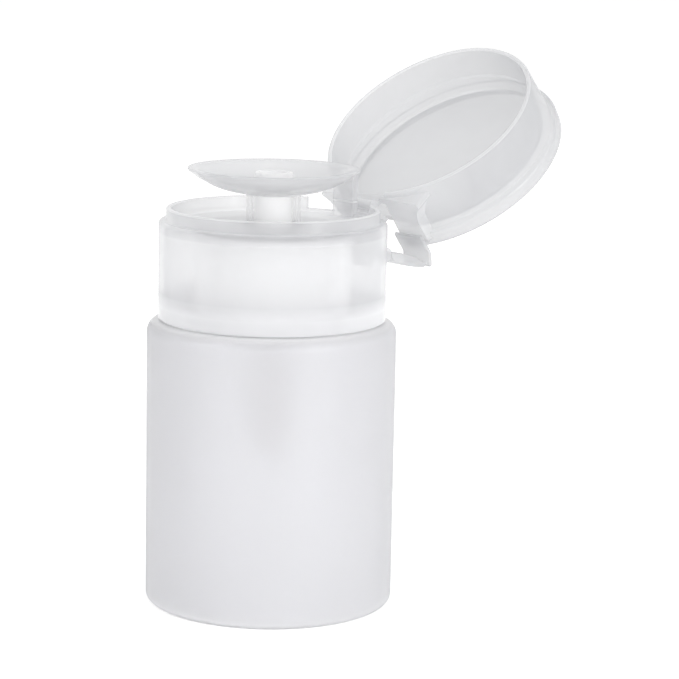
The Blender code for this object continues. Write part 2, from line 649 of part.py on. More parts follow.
def make_closure(finish):
    """The closure, with its ribs, its inner thread, the gap and tongue of its rim and the hinge seat."""
    closure = turned("closure", closure_outline(), finish)
    half = RIM_GAP_ANGLE / 2
    reach = CLOSURE_RADIUS + OVERRUN
    spread = (half, half / 2, 0, -half / 2, -half)
    wedge = [(0, 0)] + [(reach * math.sin(a), reach * math.cos(a)) for a in spread]
    rim_cut = prism("rim_gap_guide", wedge, LEDGE_TOP, RIM_TOP + OVERRUN, normal="Z")
    combine(closure, rim_cut, "DIFFERENCE")
    outer = CLOSURE_RADIUS - CLOSURE_WALL / 2
    inner = CLOSURE_RADIUS - CLOSURE_WALL - RIB_DEPTH
    for i in range(RIB_COUNT):
        rib = box(f"rib_guide_{i}", (inner, -RIB_THICKNESS / 2, DECK_BOTTOM - RIB_LENGTH),
                  (outer, RIB_THICKNESS / 2, DECK_BOTTOM + DECK_THICKNESS / 2))
        rib.rotation_euler.z = FULL_TURN * i / RIB_COUNT
        combine(closure, rib, "UNION")
    combine(closure, rim_tongue(), "UNION")
    combine(closure, hinge_bracket(), "UNION")
    for side in (-1, 1):
        combine(closure, strap_lug(side), "UNION")
    start = SHOULDER_HEIGHT + THREAD_START + THREAD_PITCH / 2
    ridge = thread_ridge("closure_thread_guide", SKIRT_BORE, -1, start, CLOSURE_THREAD_TURNS)
    combine(closure, ridge, "UNION")
    return closure


def lid_outline():
    """The shut lid's section from the recessed panel on top, over the lip, to the ceiling."""
    panel_top = LID_TOP - LID_PANEL_DROP
    ceiling = panel_top - LID_PANEL_THICKNESS
    lip_bottom = LID_TOP - LID_LIP_HEIGHT
    lip_inner = LID_LIP_RADIUS - LID_LIP_WALL
    inner = LID_MOUTH_RADIUS - LID_WALL
    step = LID_MOUTH + LID_STEP_HEIGHT
    bulge = LID_LIP_RADIUS + LID_LIP_BULGE
    return [(0, panel_top), (lip_inner - LID_EDGE, panel_top), (lip_inner, panel_top + LID_EDGE),
            (lip_inner, LID_TOP - LID_EDGE), (lip_inner + LID_EDGE, LID_TOP),
            (LID_LIP_RADIUS - LID_EDGE, LID_TOP), (LID_LIP_RADIUS, LID_TOP - LID_EDGE),
            (bulge, lip_bottom + LID_EDGE), (bulge - LID_EDGE, lip_bottom),
            (LID_MOUTH_RADIUS + LID_FLARE, lip_bottom - LID_EDGE),
            (LID_MOUTH_RADIUS, LID_MOUTH + LID_EDGE), (LID_MOUTH_RADIUS - LID_EDGE, LID_MOUTH),
            (inner + LID_EDGE, LID_MOUTH), (inner, LID_MOUTH + LID_EDGE),
            (inner, step - LID_STEP), (inner - LID_STEP, step),
            (inner - LID_STEP, ceiling - LID_EDGE), (inner - LID_STEP - LID_EDGE, ceiling), (0, ceiling)]


def lid_pad(side):
    """One flat pad at the back of the lid, with its waist, outside the lid's wall only."""
    near = STRAP_INNER - PAD_ROOT
    foot = LID_MOUTH + PAD_FOOT_RISE
    outline = [(side * near, foot), (side * (PAD_SIDE + PAD_FLARE * 0.8), foot + PAD_FLARE_HEIGHT * 0.2),
               (side * (PAD_SIDE + PAD_FLARE), foot + PAD_FLARE_HEIGHT * 0.55),
               (side * (PAD_SIDE + PAD_FLARE / 2), foot + PAD_FLARE_HEIGHT),
               (side * (PAD_SIDE + PAD_FLARE * 0.15), foot + PAD_WAIST_HEIGHT * 0.8),
               (side * PAD_SIDE, foot + PAD_WAIST_HEIGHT), (side * PAD_SIDE, LID_TOP - LID_PANEL_DROP),
               (side * near, LID_TOP - LID_PANEL_DROP)]
    back = LID_MOUTH_RADIUS - PAD_ROOT
    deep = back * math.cos(math.asin((PAD_SIDE + PAD_FLARE) / back)) - PAD_ROOT
    pad = prism(f"pad_guide_{side}", outline, deep, LID_MOUTH_RADIUS, normal="Y")
    core = turned(f"pad_core_guide_{side}", [(0, LID_TOP + OVERRUN), (back, LID_TOP + OVERRUN),
                                             (back, LID_MOUTH - OVERRUN), (0, LID_MOUTH - OVERRUN)], None)
    return combine(pad, core, "DIFFERENCE")


def lid_hinge():
    """The lid's half of the hinge: a bar across the notch, and the web and barrel that it carries."""
    low = HINGE_Z - WEB_DROP
    high = low + WEB_THICKNESS
    root = LID_MOUTH_RADIUS - LID_WALL
    side = NOTCH_MOUTH_WIDTH / 2 + WEB_ROOT
    bar = box("hinge_bar_guide", (-side, root, low), (side, LID_MOUTH_RADIUS, high))
    web = box("hinge_web_guide", (-HINGE_WIDTH / 2, root + LID_WALL / 2, low), (HINGE_WIDTH / 2, HINGE_Y, high))
    combine(bar, web, "UNION")
    round_outline = [(HINGE_Y + a, HINGE_Z + b) for a, b in arc((0, 0), BARREL_RADIUS, 0, 337.5, 15)]
    barrel = prism("barrel_guide", round_outline, -HINGE_WIDTH / 2, HINGE_WIDTH / 2)
    return combine(bar, barrel, "UNION")


def make_lid(finish):
    """The lid with its notch, pads and hinge, swung open about the hinge by an empty."""
    lid = turned("flip_lid", lid_outline(), finish)
    pad_cut = box("pad_cut_guide", (-PAD_SIDE, LID_MOUTH_RADIUS, LID_MOUTH + PAD_FLARE_HEIGHT),
                  (PAD_SIDE, LID_LIP_RADIUS + OVERRUN, LID_TOP + OVERRUN))
    combine(lid, pad_cut, "DIFFERENCE")
    for side in (-1, 1):
        combine(lid, lid_pad(side), "UNION")
    mouth = NOTCH_MOUTH_WIDTH / 2
    top = NOTCH_TOP_WIDTH / 2
    outline = [(-mouth, LID_MOUTH - OVERRUN), (mouth, LID_MOUTH - OVERRUN), (mouth, LID_MOUTH), (top, LID_TOP),
               (top, LID_TOP + OVERRUN), (-top, LID_TOP + OVERRUN), (-top, LID_TOP), (-mouth, LID_MOUTH)]
    notch = prism("notch_guide", outline, LID_MOUTH_RADIUS - NOTCH_REACH, LID_LIP_RADIUS + OVERRUN, normal="Y")
    combine(lid, notch, "DIFFERENCE")
    combine(lid, lid_hinge(), "UNION")
    return lid


def swing(thing, pivot, angle):
    """Moves a piece and its guides onto an empty at a pivot, and turns that empty about X."""
    empty = bpy.data.objects.new(f"{thing.name}_pivot", None)
    bpy.context.scene.collection.objects.link(empty)
    empty.location = (0, pivot[0], pivot[1])
    guides = []
    waiting = [thing]
    while waiting:
        piece = waiting.pop()
        guides.append(piece)
        waiting += [step.object for step in piece.modifiers if step.type == "BOOLEAN"]
    for piece in guides:
        piece.parent = empty
        piece.location = (0, -pivot[0], -pivot[1])
    empty.rotation_euler.x = angle


def lower_leaf_outline(length):
    """The lower leaf along +Y from its foot: a round foot, a belly below and a back above."""
    half = STRAP_THICKNESS / 2
    end = length - STRAP_FOLD_GAP
    under = [(length * a, -STRAP_BELLY * b) for a, b in BELLY_SHARES]
    over = [(length * a, STRAP_BACK * b) for a, b in BACK_SHARES]
    return arc((0, 0), half, 90, 270, 4) + under + [(end, -half), (end, half / 2)] + over


def upper_leaf_outline(length):
    """The upper leaf along +Y from its head: a bent band, round at both ends."""
    half = STRAP_THICKNESS / 2
    middle = [Vector((length * a, STRAP_BEND * b)) for a, b in BEND_SHARES]
    over = []
    under = []
    for before, spot, after in zip(middle, middle[1:], middle[2:]):
        way = (after - before).normalized()
        across = Vector((-way.y, way.x)) * half
        over.append(tuple(spot + across))
        under.append(tuple(spot - across))
    return arc((0, 0), half, 90, 270, 4) + under + arc((length, 0), half, -90, 90, 4) + over[::-1]


def strap_leaf(name, side, outline, finish):
    """One leaf of a strap, from the side view of it."""
    ends = sorted((side * STRAP_INNER, side * (STRAP_INNER + STRAP_WIDTH)))
    return prism(name, outline, ends[0], ends[1], finish=finish)


def make_straps(finish):
    """Four leaves: the lower ones turn on the closure, the upper ones on the lid."""
    foot, open_head, open_fold = open_strap_points()
    lower = open_fold - foot
    upper = open_fold - open_head
    for side, word in ((-1, "left"), (1, "right")):
        leaf = strap_leaf(f"strap_lower_{word}", side, lower_leaf_outline(lower.length), finish)
        leaf.location = (0, foot.x, foot.y)
        leaf.rotation_euler.x = math.atan2(lower.y, lower.x)
        leaf = strap_leaf(f"strap_upper_{word}", side, upper_leaf_outline(upper.length), finish)
        leaf.location = (0, open_head.x, open_head.y)
        leaf.rotation_euler.x = math.atan2(upper.y, upper.x)


def report_joints():
    """Prints the axes and ratios that the moving pieces share."""
    foot, head, fold = strap_points()
    open_foot, open_head, open_fold = open_strap_points()
    shut = math.atan2(fold.y - foot.y, fold.x - foot.x)
    opened = math.atan2(open_fold.y - foot.y, open_fold.x - foot.x)
    head_shut = math.atan2(fold.y - head.y, fold.x - head.x)
    head_open = math.atan2(open_fold.y - open_head.y, open_fold.x - open_head.x)
    print(f"hinge axis at y {HINGE_Y / MM:.3f}, z {HINGE_Z / MM:.3f} mm")
    print(f"strap foot at y {foot.x / MM:.3f}, z {foot.y / MM:.3f}; head at y {open_head.x / MM:.3f}, "
          f"z {open_head.y / MM:.3f}; fold at y {open_fold.x / MM:.3f}, z {open_fold.y / MM:.3f} mm")
    print(f"lower leaf ratio {(shut - opened) / LID_OPEN_ANGLE:.4f}, "
          f"upper leaf ratio {(head_shut - head_open - LID_OPEN_ANGLE) / LID_OPEN_ANGLE:.4f}")
    print(f"thread lift per radian {THREAD_PITCH / FULL_TURN:.8f} m, stroke {STROKE / MM:.1f} mm")


def main():
    clear_scene()
    frosted = material("frosted_bottle", FROSTED_COLOUR, 0.45, alpha=0.85)
    closure_plastic = material("closure_plastic", CLEAR_COLOUR, 0.3, alpha=0.7)
    lid_plastic = material("lid_plastic", CLEAR_COLOUR, 0.22, alpha=0.55)
    strap_plastic = material("strap_plastic", CLEAR_COLOUR, 0.25, alpha=0.6)
    plate_plastic = material("plate_plastic", CLEAR_COLOUR, 0.3, alpha=0.75)
    white_plastic = material("white_plastic", WHITE_COLOUR, 0.35)
    pump_plastic = material("pump_plastic", CLEAR_COLOUR, 0.35)
    soft_plastic = material("soft_plastic", RUBBER_COLOUR, 0.6)
    steel = material("spring_steel", STEEL_COLOUR, 0.3, metallic=1.0)
    glass = material("ball_glass", GLASS_COLOUR, 0.1)
    make_bottle(frosted)
    make_gasket(soft_plastic)
    port_top, tail_top = make_housing(pump_plastic)
    make_dip_tube(tail_top, pump_plastic)
    make_ball("inlet_ball", port_top, glass)
    cage_top = make_ball_cage(white_plastic)
    lock_bottom = make_lock_ring(white_plastic)
    piston_top, piston_bottom = make_piston(lock_bottom, soft_plastic)
    foot_bottom, socket_bottom, outlet_port = make_stem(piston_top, piston_bottom, white_plastic)
    make_ball("outlet_ball", outlet_port, glass)
    make_spring(cage_top, foot_bottom, steel)
    make_plate(plate_plastic)
    make_nozzle(socket_bottom, white_plastic)
    make_closure(closure_plastic)
    lid = make_lid(lid_plastic)
    swing(lid, (HINGE_Y, HINGE_Z), -LID_OPEN_ANGLE)
    make_straps(strap_plastic)
    report_joints()


main()
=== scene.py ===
# %% [markdown]
# # A push-down pump bottle for nail polish remover
# The object is a frosted bottle with a screw-on closure, a dish that is pushed down with a cotton pad,
# and a flip lid that stands open on its hinge straps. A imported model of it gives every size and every
# moving body. This script dresses that model: it models the pieces that show once more, with fine
# rounded edges, and gives every piece the plastic, steel or glass that it is made of.

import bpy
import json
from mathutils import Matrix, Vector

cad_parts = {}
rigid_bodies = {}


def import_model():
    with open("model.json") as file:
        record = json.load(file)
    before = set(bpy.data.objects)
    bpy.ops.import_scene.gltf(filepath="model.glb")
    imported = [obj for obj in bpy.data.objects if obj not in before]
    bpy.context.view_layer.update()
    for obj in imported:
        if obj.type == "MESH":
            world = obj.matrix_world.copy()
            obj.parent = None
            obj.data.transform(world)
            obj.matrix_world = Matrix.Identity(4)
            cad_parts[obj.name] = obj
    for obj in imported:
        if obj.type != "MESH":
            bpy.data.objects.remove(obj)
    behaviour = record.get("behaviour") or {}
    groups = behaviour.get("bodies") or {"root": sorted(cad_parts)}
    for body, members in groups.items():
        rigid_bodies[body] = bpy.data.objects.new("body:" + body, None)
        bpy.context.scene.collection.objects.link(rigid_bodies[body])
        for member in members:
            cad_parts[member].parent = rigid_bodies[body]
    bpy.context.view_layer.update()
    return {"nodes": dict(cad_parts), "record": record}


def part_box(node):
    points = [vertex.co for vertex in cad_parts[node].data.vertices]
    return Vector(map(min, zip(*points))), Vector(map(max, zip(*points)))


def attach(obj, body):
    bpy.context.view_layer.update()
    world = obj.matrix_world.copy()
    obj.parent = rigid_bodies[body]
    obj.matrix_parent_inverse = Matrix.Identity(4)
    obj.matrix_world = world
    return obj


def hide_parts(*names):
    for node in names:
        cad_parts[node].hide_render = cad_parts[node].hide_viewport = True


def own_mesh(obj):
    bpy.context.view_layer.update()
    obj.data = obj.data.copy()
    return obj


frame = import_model()

# %% [markdown]
# ## Units and steps
# Blender counts in metres, so the millimetre is named once. Large round pieces get more steps than
# small ones, as a facet shows first on a long outline.

# %% Modules and units
import json
import math

import bmesh
import bpy
from mathutils import Matrix, Vector

MM = 0.001
FULL_TURN = 2 * math.pi
CLOSE = 0.002 * MM
ROUND_STEPS = 128
SMALL_STEPS = 64
scene = bpy.context.scene
print("steps round a piece:", ROUND_STEPS, "or", SMALL_STEPS)

# %% [markdown]
# ## Sizes from the frame
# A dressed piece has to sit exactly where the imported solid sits, or it would float or cut through its
# neighbour when the lid swings. So the main sizes are read from the boxes of the solids, and only the
# small ones, such as a wall or a fillet, are written here as real sizes.

# %% Main sizes
bottle_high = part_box("bottle")[1]
closure_low, closure_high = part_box("closure")
plate_low, plate_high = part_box("pump_plate")
nozzle_low, nozzle_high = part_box("outlet_nozzle")
stem_low, stem_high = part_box("stem")
spring_low, spring_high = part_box("return_spring")
joints = {joint["name"]: joint for joint in frame["record"]["behaviour"]["joints"]}
hinge = Vector(joints["lid_hinge"]["pos_m"])
strap_foot = Vector(joints["strap_lower_hinge"]["pos_m"])
strap_head = Vector(joints["strap_upper_hinge"]["pos_m"])
lid_swing = math.radians(joints["lid_hinge"]["range_deg"][1])

BODY_RADIUS = bottle_high[0]
NECK_TOP = bottle_high[2]
CLOSURE_RADIUS = 26.43 * MM
CLOSURE_BOTTOM = closure_low[2]
TONGUE_RISE = 7.6 * MM
RIM_TOP = closure_high[2] - TONGUE_RISE
PLATE_RADIUS = plate_high[0]
PLATE_RIM = plate_high[2]
print(f"body radius {BODY_RADIUS / MM:.2f} mm, rim top {RIM_TOP / MM:.2f} mm, hinge {tuple(hinge)}")

# %% [markdown]
# ## The camera
# The photograph was taken from slightly above, with a long lens from a little over half a metre. The
# lens length below is for a 36 mm sensor and a square picture. The body's matrix is put together from
# a heading, a downward pitch and a very small roll, as a tripod head would be set.

# %% Set up the camera
CAMERA_PLACE = Vector((405.6, -386.3, 164.7)) * MM
CAMERA_HEADING = math.radians(44.78)
CAMERA_PITCH = math.radians(10.41)
CAMERA_ROLL = math.radians(1.1)
LENS = 129.65

camera_data = bpy.data.cameras.new("studio_camera")
camera_data.lens = LENS
camera_data.clip_start = 10 * MM
camera = bpy.data.objects.new("studio_camera", camera_data)
scene.collection.objects.link(camera)
camera.matrix_world = (
    Matrix.Translation(CAMERA_PLACE)
    @ Matrix.Rotation(CAMERA_HEADING, 4, "Z")
    @ Matrix.Rotation(math.pi / 2 - CAMERA_PITCH, 4, "X")
    @ Matrix.Rotation(CAMERA_ROLL, 4, "Z")
)
scene.camera = camera
print(f"camera {CAMERA_PLACE.length:.2f} m away, lens {LENS} mm")

# %% [markdown]
# ## Writing materials as sums
# A node material is easier to read as an expression than as a list of nodes and links. The class
# `Signal` wraps a shader socket, so that `1 - mask * 0.3` adds the Math nodes by itself.

# %% Sums of shader sockets
class Signal:
    """A shader socket that can be used in sums."""

    def __init__(self, tree, socket):
        self.tree = tree
        self.socket = socket

    def calc(self, operation, left, right):
        node = self.tree.nodes.new("ShaderNodeMath")
        node.operation = operation
        for entry, value in zip(node.inputs, (left, right)):
            feed(self.tree, entry, value)
        return Signal(self.tree, node.outputs[0])

    def __add__(self, other):
        return self.calc("ADD", self, other)

    def __sub__(self, other):
        return self.calc("SUBTRACT", self, other)

    def __rsub__(self, other):
        return self.calc("SUBTRACT", other, self)

    def __mul__(self, other):
        return self.calc("MULTIPLY", self, other)

    __radd__ = __add__
    __rmul__ = __mul__

    def greatest(self, other):
        return self.calc("MAXIMUM", self, other)


def feed(tree, entry, value):
    """Gives an input a link or a constant."""
    if isinstance(value, Signal):
        tree.links.new(value.socket, entry)
    else:
        entry.default_value = value


# %% [markdown]
# ## One object for one finish
# `Finish` holds a material with its Principled shader. One method adds any other kind of node, and
# short ones name what is done often, such as noise in Object coordinates or a second shader mixed in.

# %% The finish of a piece
SKIN_HEIGHT = 0.02 * MM


class Finish:
    """One material, with its Principled shader."""

    def __init__(self, name):
        self.material = bpy.data.materials.new(name)
        self.material.use_nodes = True
        self.tree = self.material.node_tree
        self.shader = self.tree.nodes["Principled BSDF"]

    def node(self, kind, settings=None, sockets=None, output=0):
        """Adds a node, sets its settings first, feeds its inputs and returns one output."""
        made = self.tree.nodes.new(kind)
        for name, value in (settings or {}).items():
            setattr(made, name, value)
        for name, value in (sockets or {}).items():
            feed(self.tree, made.inputs[name], value)
        return Signal(self.tree, made.outputs[output])

    def set(self, **values):
        """Feeds the shader's own inputs: base_color=... feeds Base Color."""
        for name, value in values.items():
            feed(self.tree, self.shader.inputs[name.replace("_", " ").title().replace("Ior", "IOR")], value)

    def place(self, stretch=(1, 1, 1)):
        """Object coordinates in metres, stretched along an axis where asked."""
        spot = self.node("ShaderNodeTexCoord", output="Object")
        return self.node("ShaderNodeMapping", sockets={"Vector": spot, "Scale": stretch})

    def noise(self, scale, detail=2.0, stretch=(1, 1, 1)):
        """Soft noise from 0 to 1 at a scale given in waves per metre."""
        sockets = {"Vector": self.place(stretch), "Scale": scale, "Detail": detail}
        return self.node("ShaderNodeTexNoise", sockets=sockets)

    def shades(self, mask, low, high):
        """A colour between two others, by a mask. The first may be a socket."""
        low = low if isinstance(low, Signal) else (*low, 1)
        return self.node("ShaderNodeMix", {"data_type": "RGBA"}, {0: mask, 6: low, 7: (*high, 1)}, output=2)

    def blend(self, share, other):
        """Mixes a share of another shader into the Principled one."""
        first = Signal(self.tree, self.shader.outputs[0])
        mixed = self.node("ShaderNodeMixShader", sockets={0: share, 1: first, 2: other})
        self.tree.links.new(mixed.socket, self.tree.nodes["Material Output"].inputs["Surface"])

    def grain(self, scale, strength):
        """A fine skin texture."""
        sockets = {"Height": self.noise(scale), "Strength": strength, "Distance": SKIN_HEIGHT}
        self.set(normal=self.node("ShaderNodeBump", sockets=sockets))


# %% [markdown]
# ## Masks from places
# One moulding can be clear here and white there. Such a change belongs to a place on the piece, so
# its mask is made from Object coordinates and moves with the piece. Each helper returns a maker,
# which adds its nodes to the finish that uses it.

# %% Masks from places
def beyond(place, blend=1.5 * MM, way=(0, 0, 1)):
    """A mask maker: 1 beyond a place along a direction and 0 before it, with a soft change."""
    def mask(finish):
        sockets = {0: finish.place(), 1: way}
        along = finish.node("ShaderNodeVectorMath", {"operation": "DOT_PRODUCT"}, sockets, "Value")
        return finish.node("ShaderNodeMapRange", sockets={0: along, 1: place - blend, 2: place})
    return mask


def before(place, blend=1.5 * MM, way=(0, 0, 1)):
    """A mask maker: 1 before a place along a direction and 0 beyond it."""
    return lambda finish: 1 - beyond(place, blend, way)(finish)


def near(reach, blend, centre=(0, 0, 0), stretch=(1, 1, 0)):
    """A mask maker: 1 near an axis and 0 from a distance on, with a soft change before it."""
    def mask(finish):
        sockets = {0: finish.place(stretch), 1: centre}
        away = finish.node("ShaderNodeVectorMath", {"operation": "DISTANCE"}, sockets, "Value")
        sockets = {0: away, 1: reach - blend, 2: reach, 3: 1.0, 4: 0.0}
        return finish.node("ShaderNodeMapRange", sockets=sockets)
    return mask


def both(first, second):
    """A mask maker: 1 only where two masks are."""
    return lambda finish: first(finish) * second(finish)


# %% [markdown]
# ## Milky plastic
# Closure, lid and pump plate are milky, never quite clear. Their thin smooth walls veil what lies
# behind, but don't bend it as a glass shader does. So their shader is milk with a little cover on
# each side of each wall: two walls in a row hide more than one. Part of it is a Translucent shader,
# because such a wall glows when light falls on its other side. A wall seen along its length hides
# more than one seen straight on, which Layer Weight adds.

# %% Milky plastic
GLOW_COLOUR = (0.97, 0.97, 0.98, 1)
EDGE_COVER = 0.62
EDGE_GLOW_LOSS = 0.9
PLASTIC_IOR = 1.49
CLOUDS = (55, 3, (1, 1, 0.35))
FLOW_LINES = (260, 2, (1, 1, 0.06))
SKIN_GRAIN = 2600
COVER_CHANGE = 0.06
ROUGHNESS_CHANGE = 0.05


def milky(name, low, high, cover, glow, roughness=0.16, parts=(), grain=0.1):
    """A moulded milky plastic. Parts of it may have a colour, a cover and a glow of their own."""
    finish = Finish(name)
    clouds = finish.noise(*CLOUDS)
    flow = finish.noise(*FLOW_LINES)
    colour = finish.shades(clouds, low, high)
    veil = clouds * COVER_CHANGE + (cover - COVER_CHANGE / 2)
    share = glow
    for maker, part_colour, part_cover, part_glow in parts:
        mask = maker(finish)
        rest = 1 - mask
        colour = finish.shades(mask, colour, part_colour)
        veil = veil * rest + mask * part_cover
        share = rest * share + mask * part_glow
    along = finish.node("ShaderNodeLayerWeight", output="Facing")
    finish.set(base_color=colour, ior=PLASTIC_IOR, alpha=veil + along * along * EDGE_COVER)
    finish.set(roughness=flow * ROUGHNESS_CHANGE + (roughness - ROUGHNESS_CHANGE / 2))
    finish.grain(SKIN_GRAIN, grain)
    glowing = finish.node("ShaderNodeBsdfTranslucent", sockets={"Color": GLOW_COLOUR})
    finish.blend((1 - along * along * EDGE_GLOW_LOSS) * share, glowing)
    return finish.material


# %% [markdown]
# ## Frosted plastic
# The blown bottle has a frosted skin, which blurs what is inside: the pump's housing is only a faint
# dark column. So its shader sends part of the light through a rough glass. The neck was held by the
# mould and is thick and white. A second shader is mixed in there by height, with a painted highlight:
# the flanks of the thread are lighter than its crest and the neck wall.

# %% Frosted plastic
FROST_ROUGHNESS = 0.38
NECK_ROUGHNESS = 0.12
# how much lighter the painted highlight on the thread's flanks is than the rest of the neck
FLANK_PAINTED_HIGHLIGHT = 0.08
FLANK_INNER = 15.5 * MM
FLANK_OUTER = 16.4 * MM


def frosted(name, low, high, neck, through):
    """The bottle's frosted body and its smoother, whiter neck, split by height."""
    finish = Finish(name)
    clouds = finish.noise(*CLOUDS)
    flow = finish.noise(*FLOW_LINES)
    finish.set(base_color=finish.shades(clouds, low, high), transmission_weight=through, ior=PLASTIC_IOR)
    finish.set(roughness=flow * ROUGHNESS_CHANGE + FROST_ROUGHNESS)
    finish.grain(SKIN_GRAIN, 0.3)
    above = beyond(CLOSURE_BOTTOM)(finish)
    # painted highlight: the flanks of the thread are lighter than its crest and the neck wall
    painted_flank_highlight = near(FLANK_OUTER, 0.1 * MM)(finish) * (1 - near(FLANK_INNER, 0.1 * MM)(finish))
    white = finish.shades(painted_flank_highlight, [shade - FLANK_PAINTED_HIGHLIGHT for shade in neck], neck)
    sockets = {"Base Color": white, "Roughness": flow * ROUGHNESS_CHANGE + NECK_ROUGHNESS}
    finish.blend(above, finish.node("ShaderNodeBsdfPrincipled", sockets=sockets))
    return finish.material


NECK_WHITE = (0.87, 0.87, 0.88)
bottle_finish = frosted("frosted_bottle_wall", (0.93, 0.93, 0.955), (0.96, 0.96, 0.98), NECK_WHITE, 0.6)
print(f"neck white above {CLOSURE_BOTTOM / MM:.1f} mm")

# %% [markdown]
# ## The closure's finish
# Below the deck the closure's outer wall is clear enough to show the thick white skirt that grips the
# neck. The collar is lighter and more opaque towards its foot, a painted light over the shaded
# shoulder inside it, and a painted highlight, a pale line, runs round the top of the rim. Each part
# below is a mask with its colour, its cover and its glow, and a later one lies over the earlier ones.

# %% Finish the closure
UNDER_DECK = RIM_TOP - 5.15 * MM
# the top of the painted light at the collar's foot
FOOT_PAINTED_LIGHT_TOP = CLOSURE_BOTTOM + 6.4 * MM
INSIDE = 25.0 * MM
SKIRT_OUTSIDE = 19.0 * MM
RIM_LINE = 0.2 * MM
# painted highlight: the pale colour of the line round the top of the rim and the lid's mouth
RIM_PAINTED_HIGHLIGHT = (0.84, 0.845, 0.855)
under_deck = before(UNDER_DECK, 0.5 * MM)
rim_painted_highlight = both(beyond(RIM_TOP - RIM_LINE, 0.1 * MM), before(RIM_TOP + RIM_LINE, 0.1 * MM))
closure_finish = milky("closure_milky", (0.67, 0.675, 0.695), (0.71, 0.715, 0.73), 0.2, 0.14, parts=(
    (under_deck, (0.8, 0.805, 0.825), 0.05, 0.32),
    # painted light: the collar is whiter and more opaque towards its foot, over the shaded shoulder inside it
    (before(FOOT_PAINTED_LIGHT_TOP, 3.2 * MM), (0.9, 0.905, 0.92), 0.5, 0.3),
    (both(under_deck, near(INSIDE, 0.2 * MM)), (0.98, 0.98, 0.98), 0.6, 0.2),
    (both(under_deck, near(SKIRT_OUTSIDE, 0.2 * MM)), (0.985, 0.985, 0.985), 0.8, 0.1),
    # the painted highlight round the top of the rim
    (rim_painted_highlight, RIM_PAINTED_HIGHLIGHT, 0.35, 0.18)))
print(f"closure clear below {UNDER_DECK / MM:.1f} mm")

# %% [markdown]
# ## The finishes of lid, straps and pump
# The lid is greyer than the closure, and whiter round the hinge, where it is thick. Its mouth has the
# same painted highlight, a pale line, as the rim, so that mask runs along the tilted axis of the open
# lid. The guide tube under the dish is almost clear, and the housing's barrel is the dark column inside
# the bottle.

# %% Finish the lid, the straps and the pump
HINGE_REACH = 15 * MM
LID_DROP = 2.6 * MM
DISH_FOOT = PLATE_RIM - 4.8 * MM
BARREL_TOP = CLOSURE_BOTTOM - 8.0 * MM
PALE = (0.95, 0.95, 0.955)
lid_way = Vector((0, math.sin(lid_swing), math.cos(lid_swing)))
mouth_place = lid_way.dot(hinge) + RIM_TOP - LID_DROP - hinge.z
lid_finish = milky("lid_milky", (0.57, 0.575, 0.595), (0.61, 0.615, 0.63), 0.33, 0.14, parts=(
    (near(HINGE_REACH, 8 * MM, (0, hinge.y, hinge.z), (0, 1, 1)), (0.76, 0.765, 0.78), 0.4, 0.18),
    # the lid's mouth gets the same painted highlight as the rim
    (before(mouth_place + 0.35 * MM, 0.1 * MM, lid_way), RIM_PAINTED_HIGHLIGHT, 0.4, 0.18)))
strap_finish = milky("strap_milky", (0.68, 0.685, 0.7), (0.74, 0.745, 0.76), 0.42, 0.16)
plate_finish = milky("plate_milky", (0.67, 0.675, 0.69), (0.71, 0.715, 0.73), 0.3, 0.22, parts=(
    (before(DISH_FOOT), (0.97, 0.97, 0.97), 0.03, 0.05),))
nozzle_finish = milky("nozzle_milky", PALE, (0.98, 0.98, 0.98), 0.5, 0.2)
housing_finish = milky("pump_housing_natural", PALE, (0.975, 0.975, 0.975), 0.6, 0.1, 0.3, parts=(
    (before(BARREL_TOP), (0.36, 0.31, 0.31), 0.85, 0.0),))
tube_finish = milky("dip_tube_natural", (0.86, 0.86, 0.87), (0.92, 0.92, 0.93), 0.6, 0.1, 0.25)
print("lid mouth's pale line at", round(mouth_place / MM, 2), "mm along its axis")

# %% [markdown]
# ## Solid finishes
# The inner parts are white moulded plastic, a soft foam washer and seal, a bright drawn wire and two
# glass balls. Each gets its own small irregularity: flow clouds in the plastic, pores in the foam,
# and the fine lines that a drawing die leaves along the wire.

# %% White plastic, foam, wire and glass
def solid(name, low, high, roughness, scale=90, grain=0.2, **constants):
    """An opaque finish with soft clouds in its colour and roughness."""
    finish = Finish(name)
    clouds = finish.noise(scale, 3)
    finish.set(base_color=finish.shades(clouds, low, high), roughness=clouds * 0.1 + (roughness - 0.05),
               **constants)
    finish.grain(scale * 20, grain)
    return finish.material


white_finish = solid("white_moulded", (0.975, 0.975, 0.98), (0.99, 0.99, 0.99), 0.32)
seal_finish = solid("seal_soft_natural", (0.86, 0.86, 0.84), (0.9, 0.9, 0.88), 0.6, 140, 0.4)
gasket_finish = solid("gasket_foam", (0.88, 0.88, 0.87), (0.94, 0.94, 0.93), 0.8, 900, 0.8)
wire_finish = solid("spring_wire", (0.56, 0.56, 0.57), (0.68, 0.68, 0.7), 0.28, 1200, 0.3, metallic=1.0)
ball_finish = solid("ball_glass", (0.86, 0.93, 0.91), (0.92, 0.96, 0.95), 0.08, 300, 0.02,
                    transmission_weight=0.8)
print(f"{len(bpy.data.materials)} finishes in all")

# %% [markdown]
# ## Drawing an outline by hand
# Almost every piece here is turned or moulded from one outline. By hand one would shrink a plane to a
# single vertex, extrude it from corner to corner and round corners with a vertex bevel. The helpers
# below do just that with the same operators.

# %% Draw an outline
def deselect_all():
    """Leaves nothing selected, so that an operator only acts on what follows."""
    for thing in list(scene.objects):
        thing.select_set(False)


def select_spots(piece, spots):
    """Selects the vertices that lie at one of the given places."""
    shape = bmesh.from_edit_mesh(piece.data)
    bpy.ops.mesh.select_all(action="DESELECT")
    for vertex in shape.verts:
        vertex.select = any((vertex.co - spot).length < CLOSE for spot in spots)
    shape.select_flush(True)
    bmesh.update_edit_mesh(piece.data)


